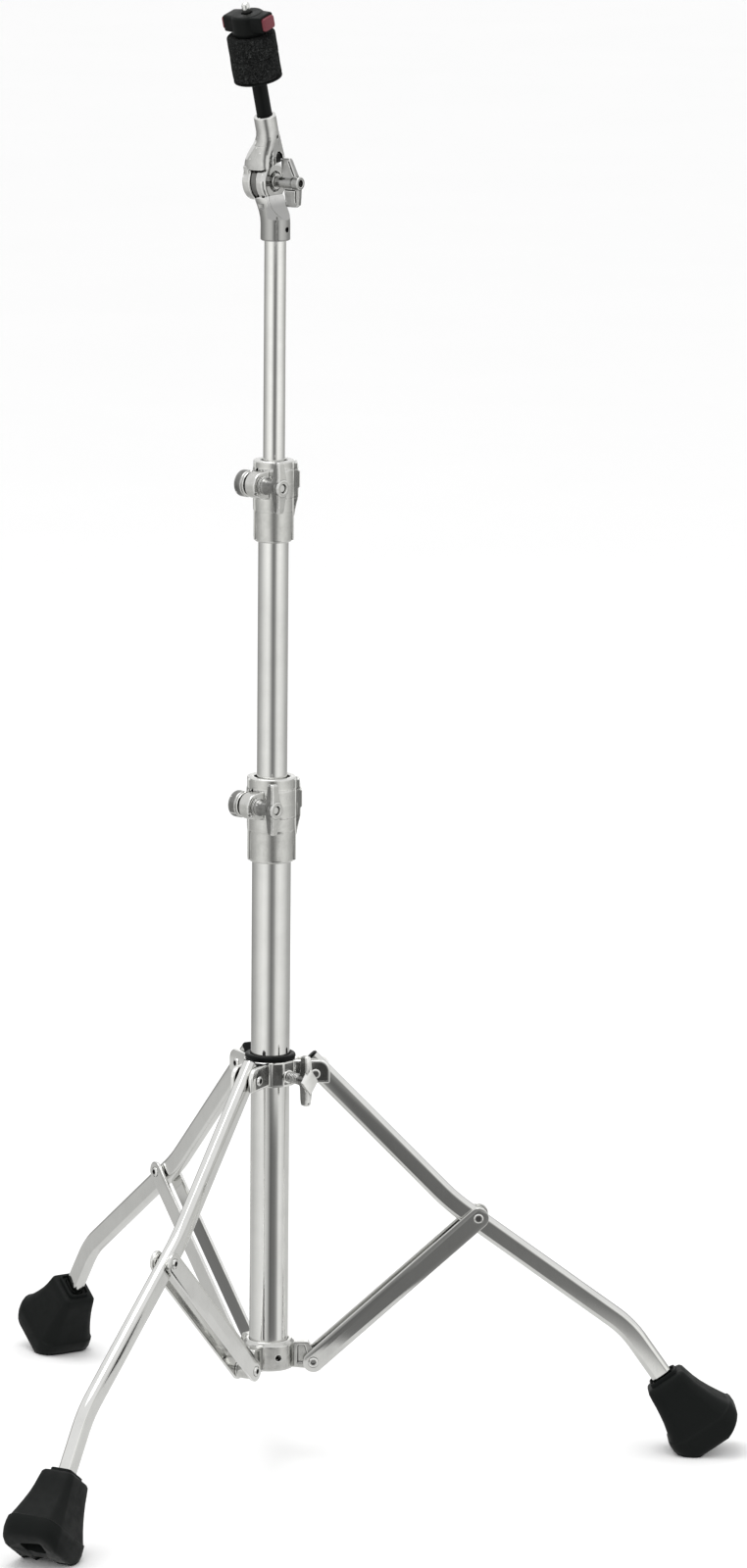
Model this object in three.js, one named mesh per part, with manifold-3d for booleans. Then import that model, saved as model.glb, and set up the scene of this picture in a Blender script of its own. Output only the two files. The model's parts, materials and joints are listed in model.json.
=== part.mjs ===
// Straight cymbal stand with a folding double-braced tripod, two telescopic tubes and a tilter.
// Millimetres, +Z up, +X towards the leg on the right of the photograph, viewer on the -Y side.
import * as THREE from 'three';
import { mergeVertices } from 'three/addons/utils/BufferGeometryUtils.js';
import Module from 'manifold-3d';

const wasm = await Module();
wasm.setup();

// Round counts
const tubeSides = 24;
const castSides = 18;
const screwSides = 10;
const cornerSteps = 2;
const bendSteps = 3;

// Clearances
const fit = 0.3;
const looseFit = 0.5;
const past = 2;

// Tubes: outer radii and walls
const baseRadius = 14.29;
const baseWall = 1.5;
const middleRadius = 11.11;
const middleWall = 1.3;
const topRadius = 7.94;
const topWall = 1.2;

// Heights above the floor on the tube axis
const hubBottom = 65;
const hubTop = 86.5;
const hubPivotHeight = 69.5;
const baseTubeBottom = 66;
const baseTubeTop = 494;
const collarPivotHeight = 288.5;
const lowerClampHeight = 490;
const upperClampHeight = 724.8;
const middleTubeBottom = 300;
const middleTubeTop = 727;
const topTubeBottom = 540;
const topTubeTop = 914;
const tilterAboveTube = 28;
const tilterHeight = topTubeTop + tilterAboveTube;

// Linkage: all six arms of the fold are equally long, pivots on one radius
const pivotRadius = 33;
const kneeRadius = 153.7;
const kneeHeight = (hubPivotHeight + collarPivotHeight) / 2;
const legAzimuths = { right: 0, rear: 120, front: 240 };

// Leg tube: its centre line corners are set from the knee and from each other, its top end from the collar pivot
const kneeToFirstBend = { r: -19.3, z: 10.6 };
const firstToSecondBend = { r: 130.9, z: -95.1 };
const secondBendToMouth = { r: 26.8, z: -38.3 };
const legPivotInset = 9.65;
const legPivotDrop = 3.16;
const legInsideBoot = 34;
const firstBendRadius = 150;
const secondBendRadius = 78;
const legDepth = 15.6;
const legWidth = 9.5;
const legCorner = 3;
const legWall = 1.2;

// Materials
const chrome = new THREE.MeshStandardMaterial({ color: 0xd0d0cc, roughness: 0.12, metalness: 1 });
const satin = new THREE.MeshStandardMaterial({ color: 0xb9bab5, roughness: 0.35, metalness: 1 });
const steel = new THREE.MeshStandardMaterial({ color: 0xa9aaa6, roughness: 0.25, metalness: 1 });
const plastic = new THREE.MeshStandardMaterial({ color: 0x1b1d1c, roughness: 0.5, metalness: 0 });
const rubber = new THREE.MeshStandardMaterial({ color: 0x232524, roughness: 0.75, metalness: 0 });
const felt = new THREE.MeshStandardMaterial({ color: 0x2c2d2d, roughness: 1, metalness: 0 });
const crimson = new THREE.MeshStandardMaterial({ color: 0x7a2733, roughness: 0.45, metalness: 0 });

// A closed solid from a geometry, with faces turned outwards
function solid(geometry) {
  const plain = geometry.clone();
  plain.deleteAttribute('normal');
  plain.deleteAttribute('uv');
  const merged = mergeVertices(plain, 1e-4);
  const position = merged.attributes.position;
  const triangles = [];
  let volume = 0;
  const a = new THREE.Vector3();
  const b = new THREE.Vector3();
  const c = new THREE.Vector3();
  for (let i = 0; i < merged.index.count; i += 3) {
    const corners = [0, 1, 2].map((k) => merged.index.getX(i + k));
    if (new Set(corners).size < 3) continue;
    a.fromBufferAttribute(position, corners[0]);
    b.fromBufferAttribute(position, corners[1]);
    c.fromBufferAttribute(position, corners[2]);
    volume += a.dot(b.cross(c));
    triangles.push(corners);
  }
  const turned = volume < 0 ? triangles.map((t) => [t[0], t[2], t[1]]) : triangles;
  return new wasm.Manifold(new wasm.Mesh({
    numProp: 3,
    vertProperties: Float32Array.from(position.array),
    triVerts: Uint32Array.from(turned.flat()),
  }));
}

// A named mesh from a solid
function piece(name, body, material) {
  const mesh = body.getMesh();
  const geometry = new THREE.BufferGeometry();
  geometry.setAttribute('position', new THREE.BufferAttribute(Float32Array.from(mesh.vertProperties), 3));
  geometry.setIndex(new THREE.BufferAttribute(Uint32Array.from(mesh.triVerts), 1));
  geometry.computeVertexNormals();
  const result = new THREE.Mesh(geometry, material);
  result.name = name;
  return result;
}

// Places a geometry: turned about X, Y and Z, then moved
function placed(geometry, move, turn = [0, 0, 0]) {
  const rotation = new THREE.Euler(turn[0], turn[1], turn[2]);
  const matrix = new THREE.Matrix4().makeRotationFromEuler(rotation).setPosition(move[0], move[1], move[2]);
  return geometry.clone().applyMatrix4(matrix);
}

const quarter = Math.PI / 2;
const half = Math.PI;
const full = 2 * Math.PI;

function radians(degrees) {
  return (degrees * half) / 180;
}

// Turned shapes: profile corners are [radius, height], the axis is +Z
function turnedGeometry(profile, sides) {
  const points = [...profile, profile[0]].map((p) => new THREE.Vector2(p[0], p[1]));
  return new THREE.LatheGeometry(points, sides).rotateX(quarter);
}

function turned(profile, sides = castSides) {
  return solid(turnedGeometry(profile, sides));
}

// A turned shape laid along +X
function turnedAlongX(profile, sides, move = [0, 0, 0]) {
  return solid(placed(turnedGeometry(profile, sides), move, [0, quarter, 0]));
}

// A turned shape laid along +Y
function turnedAlongY(profile, sides, move = [0, 0, 0]) {
  return solid(placed(turnedGeometry(profile, sides), move, [-quarter, 0, 0]));
}

function rod(radius, from, to) {
  return [[0, from], [radius, from], [radius, to], [0, to]];
}

function ring(inner, outer, from, to) {
  return [[inner, from], [outer, from], [outer, to], [inner, to]];
}

function bevelledRing(inner, outer, from, to, bevel) {
  return [
    [inner, from], [outer - bevel, from], [outer, from + bevel],
    [outer, to - bevel], [outer - bevel, to], [inner, to],
  ];
}

function bevelledRod(radius, from, to, bevel) {
  return [
    [0, from], [radius - bevel, from], [radius, from + bevel],
    [radius, to - bevel], [radius - bevel, to], [0, to],
  ];
}

// A box between two corners
function box(low, high) {
  const size = low.map((value, i) => high[i] - value);
  const centre = low.map((value, i) => (high[i] + value) / 2);
  return solid(placed(new THREE.BoxGeometry(size[0], size[1], size[2]), centre));
}

// A flat plate: outline in the XZ plane, thickness along Y from near to far
function plateXZ(shape, near, far, curveSegments = screwSides / 2) {
  const geometry = new THREE.ExtrudeGeometry(shape, { depth: far - near, bevelEnabled: false, curveSegments });
  return solid(placed(geometry, [0, far, 0], [quarter, 0, 0]));
}

// Outline points of a rounded rectangle centred on the origin
function roundedOutline(halfWidth, halfHeight, corner, steps = cornerSteps) {
  const points = [];
  const centres = [[1, 1], [-1, 1], [-1, -1], [1, -1]];
  centres.forEach(([sx, sy], k) => {
    for (let i = 0; i <= steps; i += 1) {
      const angle = quarter * (k + i / steps);
      const x = sx * (halfWidth - corner) + corner * Math.cos(angle);
      const y = sy * (halfHeight - corner) + corner * Math.sin(angle);
      points.push([x, y]);
    }
  });
  return points;
}

// A skin through rings of equal point counts, closed at both ends
function loft(rings) {
  const count = rings[0].length;
  const middleOf = (points) => [0, 1, 2].map((k) => points.reduce((sum, p) => sum + p[k], 0) / count);
  const vertices = [...rings.flat(), middleOf(rings[0]), middleOf(rings[rings.length - 1])];
  const first = rings.length * count;
  const last = first + 1;
  const index = [];
  for (let i = 0; i < count; i += 1) {
    const next = (i + 1) % count;
    index.push(first, next, i);
    const top = (rings.length - 1) * count;
    index.push(last, top + i, top + next);
    for (let j = 0; j < rings.length - 1; j += 1) {
      const low = j * count;
      const high = low + count;
      index.push(low + i, low + next, high + next, low + i, high + next, high + i);
    }
  }
  const geometry = new THREE.BufferGeometry();
  geometry.setAttribute('position', new THREE.BufferAttribute(Float32Array.from(vertices.flat()), 3));
  geometry.setIndex(index);
  return solid(geometry);
}

// Stations along the leg's centre line: { r, z, angle }, with arcs at both bends
function legStations(from, to) {
  const corners = [from, legFirstBend, legSecondBend, to];
  const radii = [0, firstBendRadius, secondBendRadius, 0];
  const stations = [];
  const directionOf = (p, q) => Math.atan2(q.z - p.z, q.r - p.r);
  stations.push({ ...from, angle: directionOf(corners[0], corners[1]) });
  for (let k = 1; k < corners.length - 1; k += 1) {
    const before = directionOf(corners[k - 1], corners[k]);
    const after = directionOf(corners[k], corners[k + 1]);
    const turn = after - before;
    const radius = radii[k];
    const reach = radius * Math.tan(Math.abs(turn) / 2);
    const side = Math.sign(turn);
    const start = {
      r: corners[k].r - reach * Math.cos(before),
      z: corners[k].z - reach * Math.sin(before),
    };
    const centre = {
      r: start.r - side * radius * Math.sin(before),
      z: start.z + side * radius * Math.cos(before),
    };
    for (let i = 0; i <= bendSteps; i += 1) {
      const angle = before + (turn * i) / bendSteps;
      stations.push({
        r: centre.r + side * radius * Math.sin(angle),
        z: centre.z - side * radius * Math.cos(angle),
        angle,
      });
    }
  }
  stations.push({ ...to, angle: directionOf(corners[2], corners[3]) });
  return stations;
}

function offset(point, step) {
  return { r: point.r + step.r, z: point.z + step.z };
}

// Moves a leg point along a direction given by an angle in the plane of the leg
function along(point, angle, distance) {
  return { r: point.r + distance * Math.cos(angle), z: point.z + distance * Math.sin(angle) };
}

const legFirstBend = offset({ r: kneeRadius, z: kneeHeight }, kneeToFirstBend);
const legSecondBend = offset(legFirstBend, firstToSecondBend);
const legMouth = offset(legSecondBend, secondBendToMouth);
const upperRun = { r: legFirstBend.r - pivotRadius, z: legFirstBend.z - collarPivotHeight };
const legTopAngle = Math.atan2(upperRun.z, upperRun.r) - Math.asin(legPivotDrop / Math.hypot(upperRun.r, upperRun.z));
const legTop = along(
  along({ r: pivotRadius, z: collarPivotHeight }, legTopAngle, -legPivotInset), legTopAngle + quarter, legPivotDrop,
);
const legEndAngle = Math.atan2(legMouth.z - legSecondBend.z, legMouth.r - legSecondBend.r);
const legEnd = along(legMouth, legEndAngle, legInsideBoot);

// A section swept along the leg's centre line, depth in the plane of the leg
function sweptLeg(from, to, depth, width, corner, steps) {
  const outline = roundedOutline(depth / 2, width / 2, corner, steps);
  const rings = legStations(from, to).map((station) => outline.map(([deep, wide]) => [
    station.r - deep * Math.sin(station.angle),
    wide,
    station.z + deep * Math.cos(station.angle),
  ]));
  return loft(rings);
}

// Pivot screws of the tripod
const pinRadius = 2.2;
const pinHoleRadius = pinRadius + fit;
const pinHeadRadius = 3.7;
const pinHeadHeight = 1.3;
const pinHeadBevel = 0.5;

// A pivot screw along Y with a low domed head at both ends
function pivotScrew(reach) {
  const head = reach + pinHeadHeight;
  return turnedAlongY([
    [0, -head], [pinHeadRadius - pinHeadBevel, -head], [pinHeadRadius, -reach], [pinRadius, -reach],
    [pinRadius, reach], [pinHeadRadius, reach], [pinHeadRadius - pinHeadBevel, head], [0, head],
  ], screwSides);
}

// Braces: two flat bars with a pressed boss around each hole
const barThickness = 2.3;
const barHalfHeight = 7.7;
const bossRadius = 6;
const bossHeight = 0.9;
const barInner = legWidth / 2 + fit + bossHeight;
const barOuter = barInner + barThickness;
const braceAngle = Math.atan2(kneeHeight - hubPivotHeight, kneeRadius - pivotRadius);
const braceLength = Math.hypot(kneeRadius - pivotRadius, kneeHeight - hubPivotHeight);

function braceBar(side) {
  const outline = new THREE.Shape();
  outline.absarc(0, 0, barHalfHeight, quarter, -quarter, false);
  outline.absarc(braceLength, 0, barHalfHeight, -quarter, quarter, false);
  outline.closePath();
  const near = Math.min(side * barInner, side * barOuter);
  const far = Math.max(side * barInner, side * barOuter);
  let body = plateXZ(outline, near, far);
  const bossNear = Math.min(side * (barInner - bossHeight), side * (barInner + bossHeight));
  const bossFar = Math.max(side * (barInner - bossHeight), side * (barInner + bossHeight));
  for (const x of [0, braceLength]) {
    body = body.add(turnedAlongY(rod(bossRadius, bossNear, bossFar), screwSides, [x, 0, 0]));
  }
  for (const x of [0, braceLength]) {
    body = body.subtract(turnedAlongY(rod(pinHoleRadius, near - past, far + past), screwSides, [x, 0, 0]));
  }
  return body;
}

// Leg, its end plug and its boot
const plugDepth = 14;
const plugRim = 1.6;
const plugInset = 0.6;

function legBody() {
  const outside = sweptLeg(legTop, legEnd, legDepth, legWidth, legCorner, cornerSteps);
  const inside = sweptLeg(
    along(legTop, legTopAngle, -past),
    along(legEnd, legEndAngle, past),
    legDepth - 2 * legWall,
    legWidth - 2 * legWall,
    legCorner - legWall,
    1,
  );
  let body = outside.subtract(inside);
  for (const pivot of [[pivotRadius, collarPivotHeight], [kneeRadius, kneeHeight]]) {
    const hole = rod(pinHoleRadius, -legWidth, legWidth);
    body = body.subtract(turnedAlongY(hole, screwSides, [pivot[0], 0, pivot[1]]));
  }
  return body;
}

// A straight bar of the leg's section between two distances from a leg point
function legBar(point, angle, from, to, depth, width, corner, steps = cornerSteps) {
  const outline = roundedOutline(depth / 2, width / 2, corner, steps);
  return loft([from, to].map((distance) => {
    const p = along(point, angle, distance);
    return outline.map(([deep, wide]) => [p.r - deep * Math.sin(angle), wide, p.z + deep * Math.cos(angle)]);
  }));
}

function legPlug() {
  const rim = legBar(legTop, legTopAngle, -plugRim, -fit / 2, legDepth - plugInset, legWidth - plugInset, legCorner);
  const slack = 2 * (legWall + fit);
  const stem = legBar(
    legTop, legTopAngle, -plugRim / 2, plugDepth, legDepth - slack, legWidth - slack, legCorner - legWall, 1,
  );
  const hole = rod(pinHoleRadius, -legWidth, legWidth);
  return rim.add(stem).subtract(turnedAlongY(hole, screwSides, [pivotRadius, 0, collarPivotHeight]));
}

// Boot: greatest sizes, and its stations down the leg's end as shares of them
const bootHeight = 56.5;
const bootHalfDepth = 28;
const bootHalfWidth = 22.6;
const bootCorner = 12;
const bootHeel = 3.6;
const bootBulge = 9;
const bootShares = [
  { down: 0.009, heel: 0, depth: 0.5, width: 0.509, corner: 0.333, bulge: 0 },
  { down: 0.044, heel: 0, depth: 0.557, width: 0.584, corner: 0.375, bulge: 0 },
  { down: 0.248, heel: 0.167, depth: 0.621, width: 0.655, corner: 0.5, bulge: 0.056 },
  { down: 0.478, heel: 0.556, depth: 0.743, width: 0.779, corner: 0.667, bulge: 0.222 },
  { down: 0.673, heel: 0.889, depth: 0.886, width: 0.903, corner: 0.833, bulge: 0.444 },
  { down: 0.779, heel: 1, depth: 1, width: 1, corner: 1, bulge: 0.667 },
  { down: 0.912, heel: 0.944, depth: 0.986, width: 1, corner: 1, bulge: 1 },
  { down: 1, heel: 0.722, depth: 0.839, width: 0.841, corner: 0.917, bulge: 0.833 },
];
const bootSpread = 3;
const soleFlat = 0;

function bootBody() {
  const rings = bootShares.map((share) => {
    const halfDepth = share.depth * bootHalfDepth;
    const halfWidth = share.width * bootHalfWidth;
    const outline = roundedOutline(halfDepth, halfWidth, share.corner * bootCorner, bootSpread);
    return outline.map(([deep, wide]) => {
      const crown = 1 - (deep / halfDepth) ** 2;
      const p = along(legMouth, legEndAngle, share.down * bootHeight + share.bulge * bootBulge * crown);
      const v = deep + share.heel * bootHeel;
      return [p.r - v * Math.sin(legEndAngle), wide, p.z + v * Math.cos(legEndAngle)];
    });
  });
  const pocket = legBar(
    legMouth, legEndAngle, -past, legInsideBoot + fit, legDepth + 2 * fit, legWidth + 2 * fit, legCorner,
  );
  const floor = box(
    [legMouth.r - legDepth * past, -legDepth * past, soleFlat - legDepth * past],
    [legMouth.r + legDepth * past * past, legDepth * past, soleFlat],
  );
  return loft(rings).subtract(pocket).subtract(floor);
}

// Hub at the foot of the base tube: ring with three lugs
const hubRadius = 19;
const hubBevel = 0.8;
const lugHalfWidth = legWidth / 2;
const lugTop = 84;
const lugNose = 6;
const pocketDepth = 1.3;
const pocketFrom = 20.6;
const pocketTo = 27;
const pocketLow = 68;
const pocketHigh = 81.5;
const hubScrewAzimuth = -68;
const hubScrewHeight = 75;
const setScrewRadius = 1.6;
const setScrewInset = 0.6;

// Lug outline in the plane of a leg: square above, rounded nose below the bars
function lugOutline() {
  const shape = new THREE.Shape();
  shape.moveTo(baseRadius + past, hubBottom);
  shape.lineTo(pivotRadius, hubPivotHeight - lugNose);
  shape.absarc(pivotRadius, hubPivotHeight, lugNose, -quarter, radians(40), false);
  shape.lineTo(pocketTo + past, lugTop);
  shape.lineTo(baseRadius + past, lugTop);
  shape.closePath();
  return shape;
}

const hubChamferHeight = 2.9;
const hubChamferDepth = 2.2;

function hubBody() {
  const bore = baseRadius + fit;
  let body = turned([
    [bore, hubBottom], [hubRadius - hubBevel, hubBottom], [hubRadius, hubBottom + hubBevel],
    [hubRadius, hubTop - hubChamferHeight], [hubRadius - hubChamferDepth, hubTop], [bore, hubTop],
  ], tubeSides);
  const lug = plateXZ(lugOutline(), -lugHalfWidth, lugHalfWidth);
  const hole = rod(pinHoleRadius, -legWidth, legWidth);
  let arm = lug.subtract(turnedAlongY(hole, screwSides, [pivotRadius, 0, hubPivotHeight]));
  for (const side of [-1, 1]) {
    const deep = side * (lugHalfWidth - pocketDepth);
    const open = side * (lugHalfWidth + past);
    arm = arm.subtract(box(
      [pocketFrom, Math.min(deep, open), pocketLow + pinHeadRadius],
      [pocketTo, Math.max(deep, open), pocketHigh],
    ));
  }
  for (const azimuth of Object.values(legAzimuths)) {
    body = body.add(arm.rotate([0, 0, azimuth]));
  }
  const tubeHole = turned(rod(bore, hubBottom - past, hubTop + past), tubeSides);
  const screwHole = turnedAlongX(rod(setScrewRadius + fit, 0, hubRadius + past), screwSides, [0, 0, hubScrewHeight]);
  return body.subtract(tubeHole).subtract(screwHole.rotate([0, 0, hubScrewAzimuth]));
}

// A short socket set screw lying along +X
function setScrew(from, to) {
  const body = turnedAlongX(rod(setScrewRadius, from, to), screwSides);
  return body.subtract(turnedAlongX(rod(setScrewRadius / 2, to - setScrewRadius, to + past), 6));
}

// Sliding collar on the base tube: faceted ring with three pairs of ears
const collarRadius = 19.6;
const collarBelowPivot = 8.5;
const collarAbovePivot = 10.1;
const collarBottom = collarPivotHeight - collarBelowPivot;
const collarTop = collarPivotHeight + collarAbovePivot;
const collarBevel = 0.9;
const collarBore = baseRadius + 1.7;
const earInner = legWidth / 2 + 1;
const earOuter = earInner + 3.4;
const earBeyondPivot = 10.6;
const earTopStep = 0.2;
const earBottomStep = 1.2;
const earEnd = pivotRadius + earBeyondPivot;
const earTop = collarTop - earTopStep;
const earBottom = collarBottom + earBottomStep;
const earRounding = 8;
const flangeRadius = 18.6;
const flangeHeight = 4;
const flangeTop = collarTop + flangeHeight;
const collarBoltAzimuth = -49;
const collarBoltBelowPivot = 0.8;
const collarBoltHeight = collarPivotHeight - collarBoltBelowPivot;
const collarBoltEnd = 44.5;
const collarBossProud = 1.6;
const collarLensDepth = 4.2;
const collarLensHalfHeight = 9.2;
const collarLensHalfWidth = 7;
const collarLensTipShare = 0.14;
const collarLensSideShare = 0.34;
const boltRadius = 3;
const facetInset = 0.9;
const facetHalfWidth = 4.8;
const facetAzimuths = [-91, -62, 60];

function earOutline() {
  const shape = new THREE.Shape();
  shape.moveTo(baseRadius, earBottom);
  shape.lineTo(earEnd - collarBevel, earBottom);
  shape.lineTo(earEnd, earBottom + collarBevel);
  shape.absarc(earEnd - earRounding, earTop - earRounding, earRounding, 0, quarter, false);
  shape.lineTo(baseRadius, earTop);
  shape.closePath();
  return shape;
}

function collarBody() {
  let body = turned(bevelledRing(collarBore, collarRadius, collarBottom, collarTop, collarBevel), tubeSides);
  for (const azimuth of facetAzimuths) {
    const cutter = box(
      [collarRadius - facetInset, -facetHalfWidth * past, collarBottom - past],
      [collarRadius + past, facetHalfWidth * past, collarTop + past],
    );
    body = body.subtract(cutter.rotate([0, 0, azimuth]));
  }
  const hole = rod(pinHoleRadius, -earOuter - past, earOuter + past);
  for (const azimuth of Object.values(legAzimuths)) {
    for (const side of [-1, 1]) {
      const near = Math.min(side * earInner, side * earOuter);
      const far = Math.max(side * earInner, side * earOuter);
      const ear = plateXZ(earOutline(), near, far)
        .subtract(turnedAlongY(hole, screwSides, [pivotRadius, 0, collarPivotHeight]));
      body = body.add(ear.rotate([0, 0, azimuth]));
    }
  }
  const bore = turned(rod(collarBore, collarBottom - past, collarTop + past), tubeSides);
  const bossLength = collarRadius + collarBossProud;
  const boss = turnedAlongX(rod(boltRadius + past, collarBore, bossLength), castSides / 2, [0, 0, collarBoltHeight]);
  const threaded = rod(boltRadius + fit, 0, bossLength + past);
  const boltHole = turnedAlongX(threaded, screwSides, [0, 0, collarBoltHeight]);
  return body.add(boss.rotate([0, 0, collarBoltAzimuth]))
    .subtract(bore)
    .subtract(boltHole.rotate([0, 0, collarBoltAzimuth]));
}

function collarBushing() {
  const inner = baseRadius + fit;
  const outer = collarBore - fit;
  const flangeBottom = collarTop + fit / 2;
  const body = turned([
    [inner, collarBottom], [outer, collarBottom], [outer, flangeBottom], [flangeRadius - hubBevel, flangeBottom],
    [flangeRadius, flangeBottom + hubBevel], [flangeRadius, flangeTop - hubBevel], [flangeRadius - hubBevel, flangeTop],
    [inner + hubBevel, flangeTop], [inner, flangeTop - hubBevel],
  ], tubeSides);
  const hole = turnedAlongX(rod(boltRadius + fit, 0, collarRadius), screwSides, [0, 0, collarBoltHeight]);
  return body.subtract(hole.rotate([0, 0, collarBoltAzimuth]));
}

// Wing screws and wing nuts: a turned stem along +X with two flat blades above and below
function wing(stemProfile, stemSides, blade) {
  const shape = new THREE.Shape();
  shape.moveTo(blade.rootFrom, 0);
  shape.lineTo(blade.tipFrom, blade.reach - blade.rounding);
  shape.lineTo(blade.tipFrom + blade.rounding, blade.reach);
  shape.lineTo(blade.tipTo - blade.rounding, blade.reach);
  shape.lineTo(blade.tipTo, blade.reach - blade.rounding);
  shape.lineTo(blade.rootTo, 0);
  shape.lineTo(blade.tipTo, -blade.reach + blade.rounding);
  shape.lineTo(blade.tipTo - blade.rounding, -blade.reach);
  shape.lineTo(blade.tipFrom + blade.rounding, -blade.reach);
  shape.lineTo(blade.tipFrom, -blade.reach + blade.rounding);
  shape.closePath();
  const plate = plateXZ(shape, -blade.thick / 2, blade.thick / 2);
  return turnedAlongX(stemProfile, stemSides).add(plate);
}

function collarWingBolt() {
  const stemRadius = 4.4;
  const hubFront = 5.6;
  const from = collarBore + fit;
  const shoulder = collarRadius + 2.2;
  const end = collarBoltEnd;
  const profile = [
    [0, from], [boltRadius, from], [boltRadius, shoulder], [stemRadius, shoulder],
    [stemRadius, end - hubFront], [hubFront, end - hubFront / 2], [hubFront, end - hubBevel], [boltRadius, end],
    [0, end],
  ];
  const blade = {
    reach: 18.6, thick: 4, rounding: 2.2,
    rootFrom: end - 10, rootTo: end - 0.4, tipFrom: end - 9.4, tipTo: end - 2.4,
  };
  return wing(profile, castSides / 2, blade).add(collarLens(end));
}

// The pointed boss in front of the collar's wing, its outline square to the bolt
function collarLens(end) {
  const tip = collarLensHalfWidth * collarLensTipShare;
  const side = collarLensHalfHeight * collarLensSideShare;
  const top = [[tip, collarLensHalfHeight], [-tip, collarLensHalfHeight]];
  const left = [[-collarLensHalfWidth, side], [-collarLensHalfWidth, -side]];
  const corners = [...top, ...left];
  const outline = [...corners, ...corners.map(([y, z]) => [-y, -z])];
  return loft([end - collarLensDepth, end].map((x) => outline.map(([y, z]) => [x, y, z])));
}

// Height clamps: sleeve, split band with ears, rim and a rib; the bolt lies along +X in the clamp's frame
const clampBoltAzimuth = -44;
const bandHalf = 10.4;
const slotHeight = 1.1;
const splitFrom = -3.9;
const splitTo = -2;
const earRadius = 9.8;
const leftEarFrom = -13;
const rightEarTo = 7.6;
const slotSweepFrom = -150;
const slotSweepTo = 38;
const ribAzimuth = 44;
const ribHalfWidth = 5.6;
const sideRibShare = 0.48;
const sideRibStep = 1.6;
const halfTurn = 180;
const clampBevel = 1.2;
const sectorSteps = 6;

const lowerClamp = {
  tube: baseRadius, inner: middleRadius, rimRadius: 18.1, bandRadius: 18.6, sleeveTopRadius: 18.3,
  sleeveEndRadius: 17.3, sleeveEnd: -43.8, rimTop: 19, ribReach: 22, boltOffset: 23.6, tubeTop: 4,
};
const upperClamp = {
  tube: middleRadius, inner: topRadius, rimRadius: 14.9, bandRadius: 15.3, sleeveTopRadius: 15.1,
  sleeveEndRadius: 14.1, sleeveEnd: -43.2, rimTop: 16.5, ribReach: 18.8, boltOffset: 19.2, tubeTop: 2.2,
};

function sector(radius, from, to, low, high) {
  const shape = new THREE.Shape();
  shape.moveTo(0, 0);
  for (let i = 0; i <= sectorSteps; i += 1) {
    const angle = radians(from + ((to - from) * i) / sectorSteps);
    shape.lineTo(radius * Math.cos(angle), radius * Math.sin(angle));
  }
  shape.closePath();
  const geometry = new THREE.ExtrudeGeometry(shape, { depth: high - low, bevelEnabled: false });
  return solid(placed(geometry, [0, 0, low]));
}

function clampBody(c) {
  const bore = c.tube + fit;
  const mouth = c.inner + 2;
  const shelf = c.rimTop - 5.6;
  let body = turned([
    [mouth, c.sleeveEnd], [c.sleeveEndRadius - clampBevel, c.sleeveEnd], [c.sleeveEndRadius, c.sleeveEnd + clampBevel],
    [c.sleeveTopRadius, -bandHalf], [c.bandRadius, -bandHalf], [c.bandRadius, bandHalf],
    [c.rimRadius, bandHalf + slotHeight], [c.rimRadius, c.rimTop - hubBevel], [c.rimRadius - hubBevel, c.rimTop],
    [mouth, c.rimTop],
  ], tubeSides);
  const leftEar = turnedAlongX(bevelledRod(earRadius, leftEarFrom, splitFrom, clampBevel), castSides, [0, -c.boltOffset, 0]);
  const rightEar = turnedAlongX(rod(earRadius, splitTo, rightEarTo), castSides, [0, -c.boltOffset, 0]);
  const webDepth = c.boltOffset - earRadius / 2;
  const web = box([leftEarFrom + clampBevel, -c.boltOffset, -earRadius], [rightEarTo, -c.boltOffset + webDepth, earRadius]);
  const rib = box([c.tube, -ribHalfWidth, -bandHalf - past], [c.ribReach, ribHalfWidth, c.rimTop - clampBevel]);
  const ribCut = box(
    [c.ribReach - 1.2, -ribHalfWidth - past, bandHalf], [c.ribReach + past, ribHalfWidth + past, c.rimTop],
  );
  const sideHalf = c.rimRadius * sideRibShare;
  const sideReach = c.sleeveEndRadius + fit;
  const sideRib = box([c.tube, -sideHalf, c.sleeveEnd + sideRibStep], [sideReach, sideHalf, c.rimTop - sideRibStep]);
  const ribs = rib.subtract(ribCut).add(sideRib).add(sideRib.rotate([0, 0, halfTurn]));
  body = body.add(leftEar).add(rightEar).add(web).add(ribs.rotate([0, 0, ribAzimuth]));
  const wide = c.boltOffset + earRadius + past;
  for (const level of [bandHalf - slotHeight / 2, -bandHalf - slotHeight / 2]) {
    body = body.subtract(sector(wide, slotSweepFrom, slotSweepTo, level, level + slotHeight));
  }
  const split = box([splitFrom, -wide, -bandHalf], [splitTo, -c.tube / 2, bandHalf]);
  const boreSolid = turned(rod(bore, c.sleeveEnd - past, shelf), tubeSides);
  const boltHole = turnedAlongX(rod(boltRadius + fit, -wide, wide), screwSides, [0, -c.boltOffset, 0]);
  const headRecess = turnedAlongX(rod(clampHeadRadius + fit, -wide, leftEarFrom + clampHeadDepth), screwSides,
    [0, -c.boltOffset, 0]);
  const spotFace = turnedAlongX(rod(washerRadius + 0.5, rightEarTo, wide), castSides, [0, -c.boltOffset, 0]);
  return body.subtract(split).subtract(boreSolid).subtract(boltHole).subtract(headRecess).subtract(spotFace);
}

const clampHeadRadius = 5;
const clampHeadDepth = 3.4;
const washerFrom = rightEarTo + fit;
const washerTo = washerFrom + 1.6;
const washerRadius = 7;
const nutFrom = washerTo + fit;
const nutEnd = 27.6;

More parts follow.
